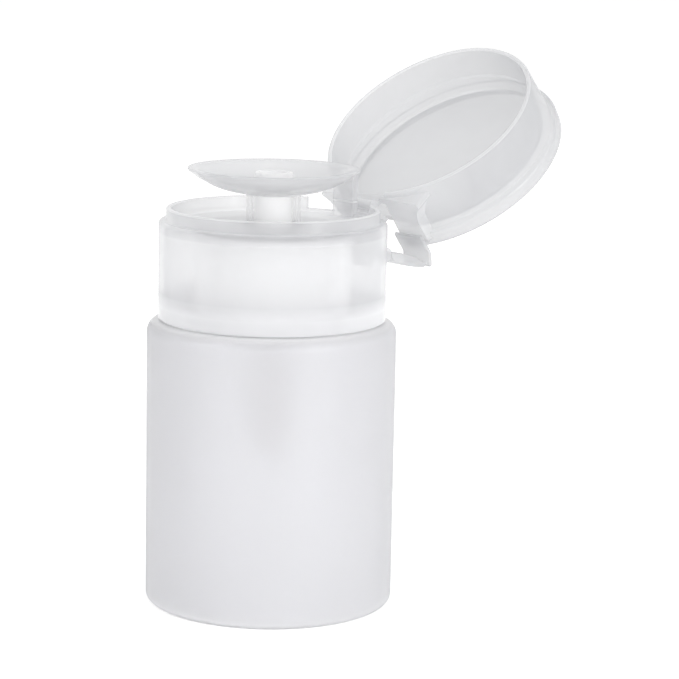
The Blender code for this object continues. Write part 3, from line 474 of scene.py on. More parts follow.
def draw_outline(name, corners, rounds=None, closed=True):
    """Extrudes one vertex from corner to corner, and rounds corners: {number: (radius, segments)}."""
    deselect_all()
    bpy.ops.mesh.primitive_plane_add(size=MM, location=(0, 0, 0))
    piece = bpy.context.object
    piece.name = name
    bpy.ops.object.mode_set(mode="EDIT")
    bpy.ops.mesh.select_mode(type="VERT")
    bpy.ops.mesh.merge(type="CENTER")
    bpy.ops.transform.translate(value=corners[0])
    for here, there in zip(corners, corners[1:]):
        bpy.ops.mesh.extrude_region_move(TRANSFORM_OT_translate={"value": Vector(there) - Vector(here)})
    if closed:
        select_spots(piece, [Vector(corners[0]), Vector(corners[-1])])
        bpy.ops.mesh.edge_face_add()
    for number, (radius, segments) in (rounds or {}).items():
        select_spots(piece, [Vector(corners[number])])
        bpy.ops.mesh.bevel(offset=radius, segments=segments, affect="VERTICES")
    bpy.ops.mesh.select_all(action="SELECT")
    return piece


# %% [markdown]
# ## Turned and extruded pieces
# A lathe or a round mould makes a piece from half of its section, as Spin does with an outline. Flat
# pieces, such as a rib or a strap, are one outline pushed through, as Extrude does. Both end alike:
# doubles are merged, and the faces are turned outwards.

# %% Turn and extrude
SHARP = math.radians(40)


def close_shell():
    """Merges doubles, turns the faces outwards and leaves edit mode."""
    bpy.ops.mesh.select_all(action="SELECT")
    bpy.ops.mesh.remove_doubles(threshold=CLOSE)
    bpy.ops.mesh.normals_make_consistent(inside=False)
    bpy.ops.object.mode_set(mode="OBJECT")


def turned(name, outline, rounds=None, steps=ROUND_STEPS):
    """Spins an outline of (radius, height) pairs about the bottle's axis."""
    corners = [(radius, 0, height) for radius, height in outline]
    piece = draw_outline(name, corners, rounds, closed=outline[0][0] > CLOSE)
    bpy.ops.mesh.spin(steps=steps, angle=FULL_TURN, center=(0, 0, 0), axis=(0, 0, 1))
    close_shell()
    return piece


def select_sharp_edges(piece):
    """Selects the edges where two faces meet at a sharp angle."""
    shape = bmesh.from_edit_mesh(piece.data)
    bpy.ops.mesh.select_mode(type="EDGE")
    bpy.ops.mesh.select_all(action="DESELECT")
    for edge in shape.edges:
        edge.select = edge.is_manifold and edge.calc_face_angle() > SHARP
    bmesh.update_edit_mesh(piece.data)


def prism(name, outline, low, high, axis="X", rounds=None, edge=0.0):
    """Fills an outline, extrudes it along an axis and bevels its sharp edges where asked."""
    ways = {"X": lambda a, b, c: (c, a, b), "Y": lambda a, b, c: (a, c, b), "Z": lambda a, b, c: (a, b, c)}
    piece = draw_outline(name, [ways[axis](a, b, low) for a, b in outline], rounds)
    bpy.ops.mesh.edge_face_add()
    bpy.ops.mesh.extrude_region_move(TRANSFORM_OT_translate={"value": ways[axis](0, 0, high - low)})
    bpy.ops.mesh.select_all(action="SELECT")
    bpy.ops.mesh.normals_make_consistent(inside=False)
    if edge:
        select_sharp_edges(piece)
        bpy.ops.mesh.bevel(offset=edge, segments=2, affect="EDGES")
    close_shell()
    return piece


# %% [markdown]
# ## Cutting, joining and finishing
# What doesn't go round, such as a lug or a notch, is a piece of its own that a Boolean modifier adds
# or takes away. The modifier is applied, so the result is one closed mesh, as one moulding is. At the
# end each piece gets its finish, rides on its body and hides the imported solid that it stands for.

# %% Cut, join and finish
def combine(piece, tool, operation):
    """Cuts a tool out of a piece or joins it to the piece, and deletes the tool."""
    deselect_all()
    bpy.context.view_layer.objects.active = piece
    step = piece.modifiers.new(tool.name, "BOOLEAN")
    step.operation = operation
    step.solver = "EXACT"
    step.object = tool
    bpy.ops.object.modifier_apply(modifier=step.name)
    bpy.data.objects.remove(tool)


def add_cylinder(steps, radius, depth, place, lying=True):
    """A plain cylinder to cut or join with, that lies along X or stands."""
    bpy.ops.mesh.primitive_cylinder_add(vertices=steps, radius=radius, depth=depth, location=place,
                                        rotation=(0, math.pi / 2 if lying else 0, 0))
    return bpy.context.object


def finish_piece(piece, material, body, node, angle=30):
    """Gives a piece its finish and smooth shading, puts it on its body and hides the solid it replaces."""
    piece.data.materials.clear()
    piece.data.materials.append(material)
    deselect_all()
    piece.select_set(True)
    bpy.context.view_layer.objects.active = piece
    bpy.ops.object.shade_smooth_by_angle(angle=math.radians(angle))
    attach(piece, body)
    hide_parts(node)
    print(f"{piece.name}: {len(piece.data.polygons)} faces")


# %% [markdown]
# ## Winding a screw thread
# The thread is a four-sided section that a Screw modifier winds up the neck. A cut end would catch,
# so each end is closed and pushed into the wall. The same helper makes the thread inside the skirt,
# with its section turned inwards.

# %% Wind a screw thread
THREAD_PITCH = 4.2 * MM
THREAD_DEPTH = 1.2 * MM
THREAD_FOOT = 1.9 * MM
THREAD_CREST = 0.9 * MM
THREAD_ROOT = 0.5 * MM


def thread_ridge(name, radius, way, start, turns):
    """A screw thread that stands out of a wall, outwards where way is 1 and inwards where it is -1."""
    foot, crest = THREAD_FOOT / 2, THREAD_CREST / 2
    section = [(-way * THREAD_ROOT, -foot), (0, -foot), (way * THREAD_DEPTH, -crest),
               (way * THREAD_DEPTH, crest), (0, foot), (-way * THREAD_ROOT, foot)]
    corners = [(radius + out, 0, start + up) for out, up in section]
    piece = draw_outline(name, corners, {2: (0.3 * MM, 2), 3: (0.3 * MM, 2)})
    bpy.ops.object.mode_set(mode="OBJECT")
    step = piece.modifiers.new("wind", "SCREW")
    step.angle = FULL_TURN * turns
    step.screw_offset = THREAD_PITCH * turns
    step.steps = step.render_steps = round(ROUND_STEPS * turns)
    step.use_merge_vertices = False
    bpy.ops.object.modifier_apply(modifier=step.name)
    bpy.ops.object.mode_set(mode="EDIT")
    bpy.ops.mesh.select_mode(type="VERT")
    for share in (0, turns):
        angle = FULL_TURN * share
        way_out = Vector((math.cos(angle), math.sin(angle), 0))
        middle = way_out * radius + Vector((0, 0, start + THREAD_PITCH * share))
        shape = bmesh.from_edit_mesh(piece.data)
        bpy.ops.mesh.select_all(action="DESELECT")
        for vertex in shape.verts:
            close_by = (vertex.co - middle).length < THREAD_FOOT
            flat = abs(way_out.cross(Vector((0, 0, 1))).dot(vertex.co - middle)) < CLOSE
            vertex.select = close_by and flat
        shape.select_flush(True)
        bmesh.update_edit_mesh(piece.data)
        bpy.ops.mesh.edge_face_add()
        bpy.ops.transform.translate(value=-way * way_out * (THREAD_DEPTH + THREAD_ROOT / 3))
    close_shell()
    return piece


# %% [markdown]
# ## The bottle
# The bottle is blown from one tube of plastic, so its wall is even, its shoulder is a soft round and
# only the neck has exact shapes: a bore, a top face that seals, and a thread. It is spun from one
# outline that goes up the outside and down the inside, which keeps the wall even everywhere.

# %% Model the bottle
SEAT_GAP = 0.3 * MM
SHOULDER = CLOSURE_BOTTOM - SEAT_GAP
BODY_WALL = 1.1 * MM
BASE_ROUND = 1.4 * MM
SHOULDER_ROUND = 3.0 * MM
NECK_RADIUS = 15.3 * MM
NECK_BORE = 13.2 * MM
THREAD_START = SHOULDER + 3.5 * MM
NECK_TURNS = 2.4
bottle = turned("bottle_body", [
    (0, 0), (BODY_RADIUS, 0), (BODY_RADIUS, SHOULDER), (NECK_RADIUS, SHOULDER), (NECK_RADIUS, NECK_TOP),
    (NECK_BORE, NECK_TOP), (NECK_BORE, SHOULDER - BODY_WALL), (BODY_RADIUS - BODY_WALL, SHOULDER - BODY_WALL),
    (BODY_RADIUS - BODY_WALL, BODY_WALL), (0, BODY_WALL)],
    {1: (BASE_ROUND, 6), 2: (SHOULDER_ROUND, 10), 3: (0.5 * MM, 4), 4: (0.35 * MM, 3), 5: (0.35 * MM, 3),
     6: (1.0 * MM, 4), 7: (SHOULDER_ROUND - BODY_WALL, 8), 8: (2.2 * MM, 6)})
combine(bottle, thread_ridge("neck_thread", NECK_RADIUS, 1, THREAD_START, NECK_TURNS), "UNION")
finish_piece(bottle, bottle_finish, "bottle", "bottle")

# %% [markdown]
# ## The closure
# The closure is a collar with a second, threaded skirt inside it that grips the neck. Seen through the
# milky wall, the skirt, the thread and four upright ribs make the light bands of the photograph. At
# the top a ledge carries the shut lid, and a thinner rim stands up inside it. All of this goes round,
# so it is one outline and one spin.

# %% Turn the closure
CLOSURE_WALL = 1.3 * MM
LEDGE_TOP = RIM_TOP - 2.9 * MM
DECK_TOP = LEDGE_TOP - 0.75 * MM
DECK_BOTTOM = DECK_TOP - 1.5 * MM
RIM_RADIUS = CLOSURE_RADIUS - 1.74 * MM
RIM_WALL = 1.25 * MM
CUP_BORE = 6.9 * MM
SEAL_BORE = 10.8 * MM
SEAL_RADIUS = 12.4 * MM
SEAL_BOTTOM = DECK_BOTTOM - 1.2 * MM
SKIRT_BORE = NECK_RADIUS + THREAD_DEPTH + 0.4 * MM
SKIRT_RADIUS = SKIRT_BORE + 1.4 * MM
SKIRT_BOTTOM = DECK_BOTTOM - 18.4 * MM

inner_wall = CLOSURE_RADIUS - CLOSURE_WALL
closure = turned("closure_shell", [
    (CLOSURE_RADIUS, CLOSURE_BOTTOM), (CLOSURE_RADIUS, LEDGE_TOP), (RIM_RADIUS, LEDGE_TOP),
    (RIM_RADIUS, RIM_TOP), (RIM_RADIUS - RIM_WALL, RIM_TOP), (RIM_RADIUS - RIM_WALL, DECK_TOP),
    (CUP_BORE, DECK_TOP), (CUP_BORE, DECK_BOTTOM), (SEAL_BORE, DECK_BOTTOM), (SEAL_BORE, SEAL_BOTTOM),
    (SEAL_RADIUS, SEAL_BOTTOM), (SEAL_RADIUS, DECK_BOTTOM), (SKIRT_BORE, DECK_BOTTOM),
    (SKIRT_BORE, SKIRT_BOTTOM), (SKIRT_RADIUS, SKIRT_BOTTOM), (SKIRT_RADIUS, DECK_BOTTOM),
    (inner_wall, DECK_BOTTOM), (inner_wall, CLOSURE_BOTTOM)],
    {0: (0.3 * MM, 3), 1: (0.8 * MM, 6), 2: (0.3 * MM, 3), 3: (0.35 * MM, 3), 4: (0.35 * MM, 3),
     5: (0.5 * MM, 4), 6: (0.3 * MM, 3), 7: (0.2 * MM, 2), 13: (0.3 * MM, 3), 14: (0.3 * MM, 3),
     16: (0.5 * MM, 4), 17: (0.3 * MM, 3)})
print(f"closure from {CLOSURE_BOTTOM / MM:.2f} to {RIM_TOP / MM:.2f} mm, deck at {DECK_TOP / MM:.2f} mm")

# %% [markdown]
# ## The closure's ribs and the gap in its rim
# The rim is left open at the back, where the hinge has to pass: a wedge that reaches past the rim is
# cut out. Four ribs stiffen the collar from inside. They are one flat prism, turned about the axis.

# %% Cut the rim and add the ribs
PAST = 3.0 * MM
SOFT_EDGE = 0.15 * MM
RIM_GAP = math.radians(53)
RIB_COUNT = 4
RIB_THICKNESS = 0.9 * MM
RIB_DEPTH = 1.6 * MM
RIB_LENGTH = 10.0 * MM
RIB_ROOT = 0.5 * MM

reach = CLOSURE_RADIUS + PAST
wedge = [(0, 0)] + [(reach * math.sin(RIM_GAP * share), reach * math.cos(RIM_GAP * share))
                    for share in (0.5, 0, -0.5)]
combine(closure, prism("rim_gap", wedge, LEDGE_TOP, RIM_TOP + PAST, "Z"), "DIFFERENCE")

rib_inner = inner_wall - RIB_DEPTH
rib_outer = rib_inner + RIB_DEPTH * 1.3
outline = [(rib_inner, DECK_BOTTOM - RIB_LENGTH), (rib_outer, DECK_BOTTOM - RIB_LENGTH),
           (rib_outer, DECK_BOTTOM + RIB_ROOT), (rib_inner, DECK_BOTTOM + RIB_ROOT)]
for number in range(RIB_COUNT):
    rib = prism("rib", outline, -RIB_THICKNESS / 2, RIB_THICKNESS / 2, "Y", edge=SOFT_EDGE)
    rib.data.transform(Matrix.Rotation(FULL_TURN / RIB_COUNT * number, 4, "Z"))
    combine(closure, rib, "UNION")
print(f"{RIB_COUNT} ribs, {RIB_LENGTH / MM:.0f} mm long")

# %% [markdown]
# ## The closure's tongue
# A tongue stands up inside the gap of the rim. It closes the notch that the shut lid needs to pass over
# the hinge. Its two faces follow the round of the rim, so its outline is drawn from above through a few
# points of both rounds.

# %% Add the tongue
TONGUE_WIDTH = 6.8 * MM
TONGUE_WALL = 1.8 * MM
TONGUE_ROOT = 0.75 * MM


def wall_depth(radius, side):
    """How far back a round wall of a radius lies at a distance to the side of the middle."""
    return math.sqrt(radius ** 2 - side ** 2)


tongue_outer = RIM_RADIUS - 0.1 * MM
tongue_inner = tongue_outer - TONGUE_WALL
places = [TONGUE_WIDTH / 2 * share for share in (-1, -0.5, 0, 0.5, 1)]
outline = [(side, wall_depth(tongue_outer, side)) for side in places]
outline += [(side, wall_depth(tongue_inner, side)) for side in reversed(places)]
tongue = prism("rim_tongue", outline, DECK_TOP - TONGUE_ROOT, RIM_TOP + TONGUE_RISE, "Z", edge=SOFT_EDGE * 2)
combine(closure, tongue, "UNION")
print(f"tongue {TONGUE_WIDTH / MM:.1f} mm wide, top at {(RIM_TOP + TONGUE_RISE) / MM:.2f} mm")

# %% [markdown]
# ## The closure's hinge seat
# Behind the gap a bracket carries the barrel of the lid in a seat. It is drawn from the side, and a
# cylinder of the seat's radius is cut out of its top. The seat is open above, so that the web of the
# lid can swing in it.

# %% Add the hinge seat
HINGE_WIDTH = 7.6 * MM
SEAT_RADIUS = 1.6 * MM
SEAT_WALL = 0.42 * MM
SEAT_DROP = 7 * MM
SEAT_SLOPE = 2.85 * MM
SEAT_MOUTH = 0.75 * MM

seat_side = HINGE_WIDTH / 2 - 0.1 * MM
wall = wall_depth(CLOSURE_RADIUS - CLOSURE_WALL / 2, seat_side)
outer = hinge.y + SEAT_RADIUS + SEAT_WALL
seat_top = hinge.z - SEAT_MOUTH
shelf = LEDGE_TOP - 0.1 * MM
outline = [(wall, hinge.z - SEAT_DROP), (hinge.y - SEAT_SLOPE, hinge.z - SEAT_DROP),
           (hinge.y + SEAT_RADIUS / 2, hinge.z - SEAT_SLOPE), (outer, hinge.z - SEAT_RADIUS),
           (outer, seat_top), (hinge.y - SEAT_RADIUS, seat_top),
           (hinge.y - SEAT_RADIUS - 0.3 * MM, shelf), (wall, shelf)]
bracket = prism("hinge_seat", outline, -seat_side, seat_side, "X", edge=SOFT_EDGE)
seat_room = add_cylinder(SMALL_STEPS, SEAT_RADIUS, HINGE_WIDTH * 2, (0, hinge.y, hinge.z))
combine(bracket, seat_room, "DIFFERENCE")
combine(closure, bracket, "UNION")
print(f"seat {HINGE_WIDTH / MM:.1f} mm wide at y {hinge.y / MM:.2f}, z {hinge.z / MM:.2f} mm")

# %% [markdown]
# ## The closure's lugs and thread
# Two lugs on the collar end just short of the straps, where the film of a living hinge would be. Then
# the thread goes into the skirt, half a pitch above the one on the neck, so that the two ridges lie
# between each other when the closure is screwed on.

# %% Add the lugs and the inner thread
STRAP_INNER = 4.1 * MM
STRAP_WIDTH = 8.5 * MM
STRAP_THICKNESS = 0.9 * MM
LUG_ROOT = 2.9 * MM
LUG_FACE = 1.3 * MM
SKIRT_TURNS = 1.5


def strap_sides(side):
    """The two ends, along X, of a strap on one side of the middle."""
    return sorted((side * STRAP_INNER, side * (STRAP_INNER + STRAP_WIDTH)))


for side in (-1, 1):
    wall = wall_depth(CLOSURE_RADIUS - CLOSURE_WALL / 2, STRAP_INNER + STRAP_WIDTH)
    face = strap_foot.y - STRAP_THICKNESS / 2 - SEAT_GAP
    outline = [(wall, strap_foot.z - LUG_ROOT), (face, strap_foot.z - LUG_FACE),
               (face, strap_foot.z + LUG_FACE), (wall, strap_foot.z + LUG_ROOT)]
    combine(closure, prism("strap_lug", outline, *strap_sides(side), "X", edge=SOFT_EDGE), "UNION")

skirt_thread = thread_ridge("skirt_thread", SKIRT_BORE, -1, THREAD_START + THREAD_PITCH / 2, SKIRT_TURNS)
combine(closure, skirt_thread, "UNION")
finish_piece(closure, closure_finish, "closure", "closure")

# %% [markdown]
# ## The lid
# The lid is a deep cap with a lip round its closed end. It is modelled shut, over the bottle, because
# its outline is simple there: one spin makes the skirt, the lip, the sunk panel and the ceiling.

# %% Turn the lid
LID_MOUTH = LEDGE_TOP + SEAT_GAP
LID_TOP = LID_MOUTH + 15.95 * MM
LID_MOUTH_RADIUS = CLOSURE_RADIUS + 0.67 * MM
LID_WALL = 1.2 * MM
LID_FLARE = 0.5 * MM
LIP_RADIUS = LID_MOUTH_RADIUS + 1.94 * MM
LIP_TOP_RADIUS = LID_MOUTH_RADIUS + 1.74 * MM
LIP_BOTTOM = LID_TOP - 3.6 * MM
PANEL_TOP = LID_TOP - 2.0 * MM
CEILING = PANEL_TOP - 1.3 * MM

lip_inner = LIP_TOP_RADIUS - 1.6 * MM
inner = LID_MOUTH_RADIUS - LID_WALL
lid = turned("lid_shell", [
    (0, PANEL_TOP), (lip_inner, PANEL_TOP), (lip_inner, LID_TOP), (LIP_TOP_RADIUS, LID_TOP),
    (LIP_RADIUS, LIP_BOTTOM), (LID_MOUTH_RADIUS + LID_FLARE, LIP_BOTTOM - 0.35 * MM),
    (LID_MOUTH_RADIUS, LID_MOUTH), (inner, LID_MOUTH), (inner, LID_MOUTH + 7.8 * MM),
    (inner - 0.5 * MM, LID_MOUTH + 8.3 * MM), (inner - 0.5 * MM, CEILING), (0, CEILING)],
    {1: (0.5 * MM, 4), 2: (0.5 * MM, 4), 3: (0.7 * MM, 5), 4: (0.5 * MM, 4), 5: (0.4 * MM, 3),
     6: (0.58 * MM, 5), 7: (0.4 * MM, 4), 8: (0.2 * MM, 2), 9: (0.2 * MM, 2), 10: (0.8 * MM, 5)})
print(f"lid from {LID_MOUTH / MM:.2f} to {LID_TOP / MM:.2f} mm when it is shut")

# %% [markdown]
# ## The lid's pads
# At the back the lip is cut flat, and two pads carry the straps. Each pad flares towards the mouth of
# the lid. It is drawn from behind and extruded into the wall, and a cylinder cuts off what would stand
# inside the cap.

# %% Add the pads
PAD_SIDE = 13.25 * MM
PAD_FLARE = 3.0 * MM
PAD_ROOT = 0.7 * MM

back_cut = [(-PAD_SIDE, LID_MOUTH_RADIUS), (PAD_SIDE, LID_MOUTH_RADIUS), (PAD_SIDE, LIP_RADIUS + PAST),
            (-PAD_SIDE, LIP_RADIUS + PAST)]
combine(lid, prism("back_cut", back_cut, LID_MOUTH + 3 * MM, LID_TOP + PAST, "Z"), "DIFFERENCE")

foot = LID_MOUTH + 0.9 * MM
pad_inner = STRAP_INNER - PAD_ROOT
back = LID_MOUTH_RADIUS - PAD_ROOT
deep = wall_depth(back, PAD_SIDE + PAD_FLARE) - PAD_ROOT
outline = [(pad_inner, foot), (PAD_SIDE + PAD_FLARE * 0.8, foot + 0.6 * MM),
           (PAD_SIDE + PAD_FLARE, foot + 1.65 * MM), (PAD_SIDE + PAD_FLARE / 2, foot + 3 * MM),
           (PAD_SIDE + PAD_FLARE * 0.15, foot + 5.3 * MM), (PAD_SIDE, foot + 6.6 * MM),
           (PAD_SIDE, PANEL_TOP), (pad_inner, PANEL_TOP)]
pad_rounds = {1: (0.5 * MM, 4), 2: (0.8 * MM, 5), 3: (0.8 * MM, 5), 4: (0.6 * MM, 4)}
for side in (-1, 1):
    pad = prism("hinge_pad", [(side * a, b) for a, b in outline], deep, LID_MOUTH_RADIUS, "Y", pad_rounds)
    room = add_cylinder(ROUND_STEPS, back, LID_TOP, (0, 0, LID_MOUTH + LID_TOP / 4), lying=False)
    combine(pad, room, "DIFFERENCE")
    combine(lid, pad, "UNION")
print(f"pads out to {(PAD_SIDE + PAD_FLARE) / MM:.2f} mm")

# %% [markdown]
# ## The lid's notch and knuckle
# Between the pads a notch goes right through the wall, and a bar across its mouth carries the web and
# the barrel of the hinge. The three are joined first and then go into the lid in one step.

# %% Cut the notch and add the knuckle
NOTCH_BACK = LID_MOUTH_RADIUS - 5.3 * MM
NOTCH_MOUTH = 11.0 * MM
NOTCH_TOP = 8.6 * MM
BARREL_RADIUS = 1.3 * MM
WEB_THICKNESS = 1.4 * MM

mouth, top = NOTCH_MOUTH / 2, NOTCH_TOP / 2
notch = [(-mouth, LID_MOUTH - PAST), (mouth, LID_MOUTH - PAST), (mouth, LID_MOUTH), (top, LID_TOP),
         (top, LID_TOP + PAST), (-top, LID_TOP + PAST), (-top, LID_TOP), (-mouth, LID_MOUTH)]
combine(lid, prism("back_notch", notch, NOTCH_BACK, LIP_RADIUS + PAST, "Y"), "DIFFERENCE")

web_low = hinge.z - 0.15 * MM
web_high = web_low + WEB_THICKNESS
bar_side = NOTCH_MOUTH / 2 + 0.9 * MM
web_start = inner + LID_WALL / 2
bar = [(inner, web_low), (LID_MOUTH_RADIUS, web_low), (LID_MOUTH_RADIUS, web_high), (inner, web_high)]
web = [(web_start, web_low), (hinge.y, web_low), (hinge.y, web_high), (web_start, web_high)]
knuckle = prism("hinge_bar", bar, -bar_side, bar_side, "X")
combine(knuckle, prism("hinge_web", web, -HINGE_WIDTH / 2, HINGE_WIDTH / 2, "X"), "UNION")
barrel = add_cylinder(SMALL_STEPS // 2, BARREL_RADIUS, HINGE_WIDTH, (0, hinge.y, hinge.z))
combine(knuckle, barrel, "UNION")
combine(lid, knuckle, "UNION")
print(f"notch {NOTCH_MOUTH / MM:.1f} mm wide, barrel {2 * BARREL_RADIUS / MM:.1f} mm thick")

# %% [markdown]
# ## Opening the lid
# The photograph shows the lid open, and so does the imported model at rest. The finished lid is swung
# about the hinge, and the turn is left in its mesh, so that the object itself stays unturned.

# %% Swing the lid open
swing_open = Matrix.Translation(hinge) @ Matrix.Rotation(-lid_swing, 4, "X") @ Matrix.Translation(-hinge)
lid.data.transform(swing_open)
finish_piece(lid, lid_finish, "flip_lid", "flip_lid")

# %% [markdown]
# ## The hinge straps
# A strap hinge snaps: two straps are a little too short, so the lid jumps open or shut. Each strap has
# a thin fold half way, so it is modelled as two leaves that turn on the closure and on the lid. Both
# are drawn from the side in shares of their own length, which keeps the outline right if the frame
# gets another size.

# %% Find the fold
LOWER_LENGTH = 13.43 * MM
UPPER_LENGTH = 7.6 * MM


def fold_place():
    """Where the two leaves meet: as far from each pivot as that pivot's leaf is long."""
    span = strap_head - strap_foot
    along = (LOWER_LENGTH ** 2 - UPPER_LENGTH ** 2 + span.length ** 2) / (2 * span.length)
    out = math.sqrt(LOWER_LENGTH ** 2 - along ** 2)
    way = span.normalized()
    return strap_foot + way * along + Vector((0, way.z, -way.y)) * out


def laid(stops, start, end):
    """Turns places along and across a leaf into places in the bottle's frame."""
    along = (end - start).normalized()
    across = Vector((0, -along.z, along.y))
    spots = [start + along * a + across * b for a, b in stops]
    return [(spot.y, spot.z) for spot in spots]


fold = fold_place()
print(f"fold at y {fold.y / MM:.2f}, z {fold.z / MM:.2f} mm")

# %% [markdown]
# ## The leaves of the straps
# The lower leaf is thick, with a belly below, and the upper one is a bent band. Their outlines are
# lists of shares along and across the leaf. A small gap is left at the fold, where the real strap has
# only a film.

# %% Model the straps
STRAP_BELLY = 1.75 * MM
STRAP_BACK = 0.85 * MM
STRAP_BEND = 1.1 * MM
STRAP_EDGE = 0.12 * MM
FOLD_GAP = 1.45 * MM
half = STRAP_THICKNESS / 2
belly_shares = ((0.06, 0.93), (0.22, 1), (0.44, 0.95), (0.65, 0.79), (0.86, 0.5))
back_shares = ((0.71, 0.32), (0.62, 1), (0.17, 1), (0.12, 0.53))
bend_shares = ((0, 0), (0.25, 0.38), (0.5, 0.75), (0.6, 0.87), (0.68, 0.87), (0.76, 0.7), (1, 0))


def lower_stops():
    """The lower leaf from the side: a round foot, the belly below and the back above."""
    end = LOWER_LENGTH - FOLD_GAP
    under = [(LOWER_LENGTH * a, -STRAP_BELLY * b) for a, b in belly_shares]
    over = [(LOWER_LENGTH * a, STRAP_BACK * b) for a, b in back_shares]
    return [(-half, half), (-half, -half)] + under + [(end, -half), (end, half / 2)] + over


def upper_stops():
    """The upper leaf from the side: a bent band with round ends."""
    middle = [Vector((UPPER_LENGTH * a, STRAP_BEND * b)) for a, b in bend_shares]
    ways = [(there - here).normalized() for here, there in zip(middle, middle[2:])]
    across = [Vector((-way.y, way.x)) * half for way in ways]
    under = [tuple(spot - step) for spot, step in zip(middle[1:], across)]
    over = [tuple(spot + step) for spot, step in zip(middle[1:], across)]
    end = UPPER_LENGTH + half
    return [(-half, half), (-half, -half)] + under + [(end, -half), (end, half)] + over[::-1]


end_round = (half * 0.95, 4)
lower_rounds = {0: end_round, 1: end_round}
lower_rounds.update({number: (0.5 * MM, 3) for number in (2, 3, 4, 5, 6, 9, 10, 11, 12)})
upper_rounds = {number: end_round for number in (0, 1, 7, 8)}
lower_outline = laid(lower_stops(), strap_foot, fold)
upper_outline = laid(upper_stops(), strap_head, fold)
for side, word in ((-1, "left"), (1, "right")):
    low, high = strap_sides(side)
    leaf = prism(f"strap_leaf_lower_{word}", lower_outline, low, high, "X", lower_rounds, STRAP_EDGE)
    finish_piece(leaf, strap_finish, "strap_lower", f"strap_lower_{word}")
    leaf = prism(f"strap_leaf_upper_{word}", upper_outline, low, high, "X", upper_rounds, STRAP_EDGE)
    finish_piece(leaf, strap_finish, "strap_upper", f"strap_upper_{word}")

# %% [markdown]
# ## The pump plate
# The plate is a shallow dish of even wall on a guide tube. A cotton pad is laid on it and pushed down,
# and the liquid comes up in the middle. Its lower face is drawn as a few points of a soft S and
# rounded, and the upper face follows it one wall higher, so that the wall stays even.

# %% Model the plate
GUIDE_RADIUS = 6.3 * MM
GUIDE_WALL = 1.0 * MM
PLATE_WALL = 1.3 * MM
PLATE_RISE = 6.0 * MM
PLATE_HOLE = 3.9 * MM
plate_bottom = PLATE_RIM - PLATE_RISE
guide_bore = GUIDE_RADIUS - GUIDE_WALL
span = PLATE_RADIUS - GUIDE_RADIUS
dish_shares = ((0, 0), (0.25, 0.1), (0.5, 0.245), (0.7, 0.475), (0.885, 0.72), (0.96, 0.87))
under = [(GUIDE_RADIUS + span * a, plate_bottom + PLATE_RISE * b) for a, b in dish_shares]
over = [(GUIDE_RADIUS + span * a - PLATE_WALL * b, plate_bottom + PLATE_RISE * b + PLATE_WALL)
        for a, b in reversed(dish_shares[:-1])]
rim = [(PLATE_RADIUS, PLATE_RIM - 0.5 * MM), (PLATE_RADIUS - 0.1 * MM, PLATE_RIM)]
foot = [(PLATE_HOLE, plate_bottom + PLATE_WALL), (PLATE_HOLE, plate_bottom), (guide_bore, plate_bottom),
        (guide_bore, plate_low[2]), (GUIDE_RADIUS, plate_low[2])]
dish_rounds = {number: (1.6 * MM, 4) for number in (1, 2, 3, 9, 10, 11)}
dish_rounds.update({0: (0.5 * MM, 4), 4: (0.6 * MM, 3)})
dish_rounds.update({number: (0.2 * MM, 2) for number in (6, 7, 13)})
plate = turned("pump_dish", under + rim + over + foot, dish_rounds)
finish_piece(plate, plate_finish, "plunger", "pump_plate")

# %% [markdown]
# ## The nozzle
# The small turret in the middle of the dish lets the liquid out into a shallow recess, where the pad
# soaks it up. Its plug sits in the hole of the plate with a small gap all round.

# %% Model the nozzle
NOZZLE_RADIUS = nozzle_high[0]
NOZZLE_BORE = 0.8 * MM
RECESS_RADIUS = 3.3 * MM
recess = nozzle_high[2] - 0.9 * MM
plug = PLATE_HOLE - SEAT_GAP
nozzle_seat = plate_bottom + PLATE_WALL + SEAT_GAP
nozzle = turned("nozzle_turret", [
    (NOZZLE_BORE, nozzle_low[2]), (NOZZLE_BORE, recess), (RECESS_RADIUS, recess),
    (RECESS_RADIUS, nozzle_high[2]), (NOZZLE_RADIUS, nozzle_high[2]), (NOZZLE_RADIUS, nozzle_seat),
    (plug, nozzle_seat), (plug, nozzle_low[2])],
    {1: (0.3 * MM, 3), 2: (0.3 * MM, 3), 3: (0.25 * MM, 3), 4: (0.5 * MM, 4), 7: (0.3 * MM, 3)}, SMALL_STEPS)
finish_piece(nozzle, nozzle_finish, "plunger", "outlet_nozzle")

# %% [markdown]
# ## The stem
# The white stem stands inside the guide tube and shows through it. Below its head it is a thin rod with
# a waist for the piston and a foot that keeps the piston on. It is hollow, and wider near the top for
# the outlet ball.

# %% Model the stem
STEM_RADIUS = 4.35 * MM
ROD_RADIUS = 2.3 * MM
ROD_NECK = 1.7 * MM
STEM_BORE = 1.1 * MM
VALVE_BORE = 2.4 * MM
head_bottom = stem_high[2] - 9.4 * MM
socket_bottom = stem_high[2] - 2.4 * MM
valve_seat = socket_bottom - 3.4 * MM
port_top = valve_seat - (VALVE_BORE - STEM_BORE)
seal_low, seal_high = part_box("piston_seal")
waist_low, waist_high = seal_low[2] - SEAT_GAP, seal_high[2] + SEAT_GAP
rod_foot = stem_high[0] * 0.735
stem = turned("stem_rod", [
    (PLATE_HOLE, stem_high[2]), (STEM_RADIUS, stem_high[2]), (STEM_RADIUS, head_bottom),
    (ROD_RADIUS, head_bottom), (ROD_RADIUS, waist_high), (ROD_NECK, waist_high), (ROD_NECK, waist_low),
    (rod_foot, waist_low), (rod_foot, stem_low[2]), (STEM_BORE, stem_low[2]), (STEM_BORE, port_top),
    (VALVE_BORE, valve_seat), (VALVE_BORE, socket_bottom), (PLATE_HOLE, socket_bottom)],
    {2: (0.4 * MM, 4), 3: (0.3 * MM, 3), 7: (0.2 * MM, 2), 8: (0.2 * MM, 2)}, SMALL_STEPS)
finish_piece(stem, white_finish, "plunger", "stem")
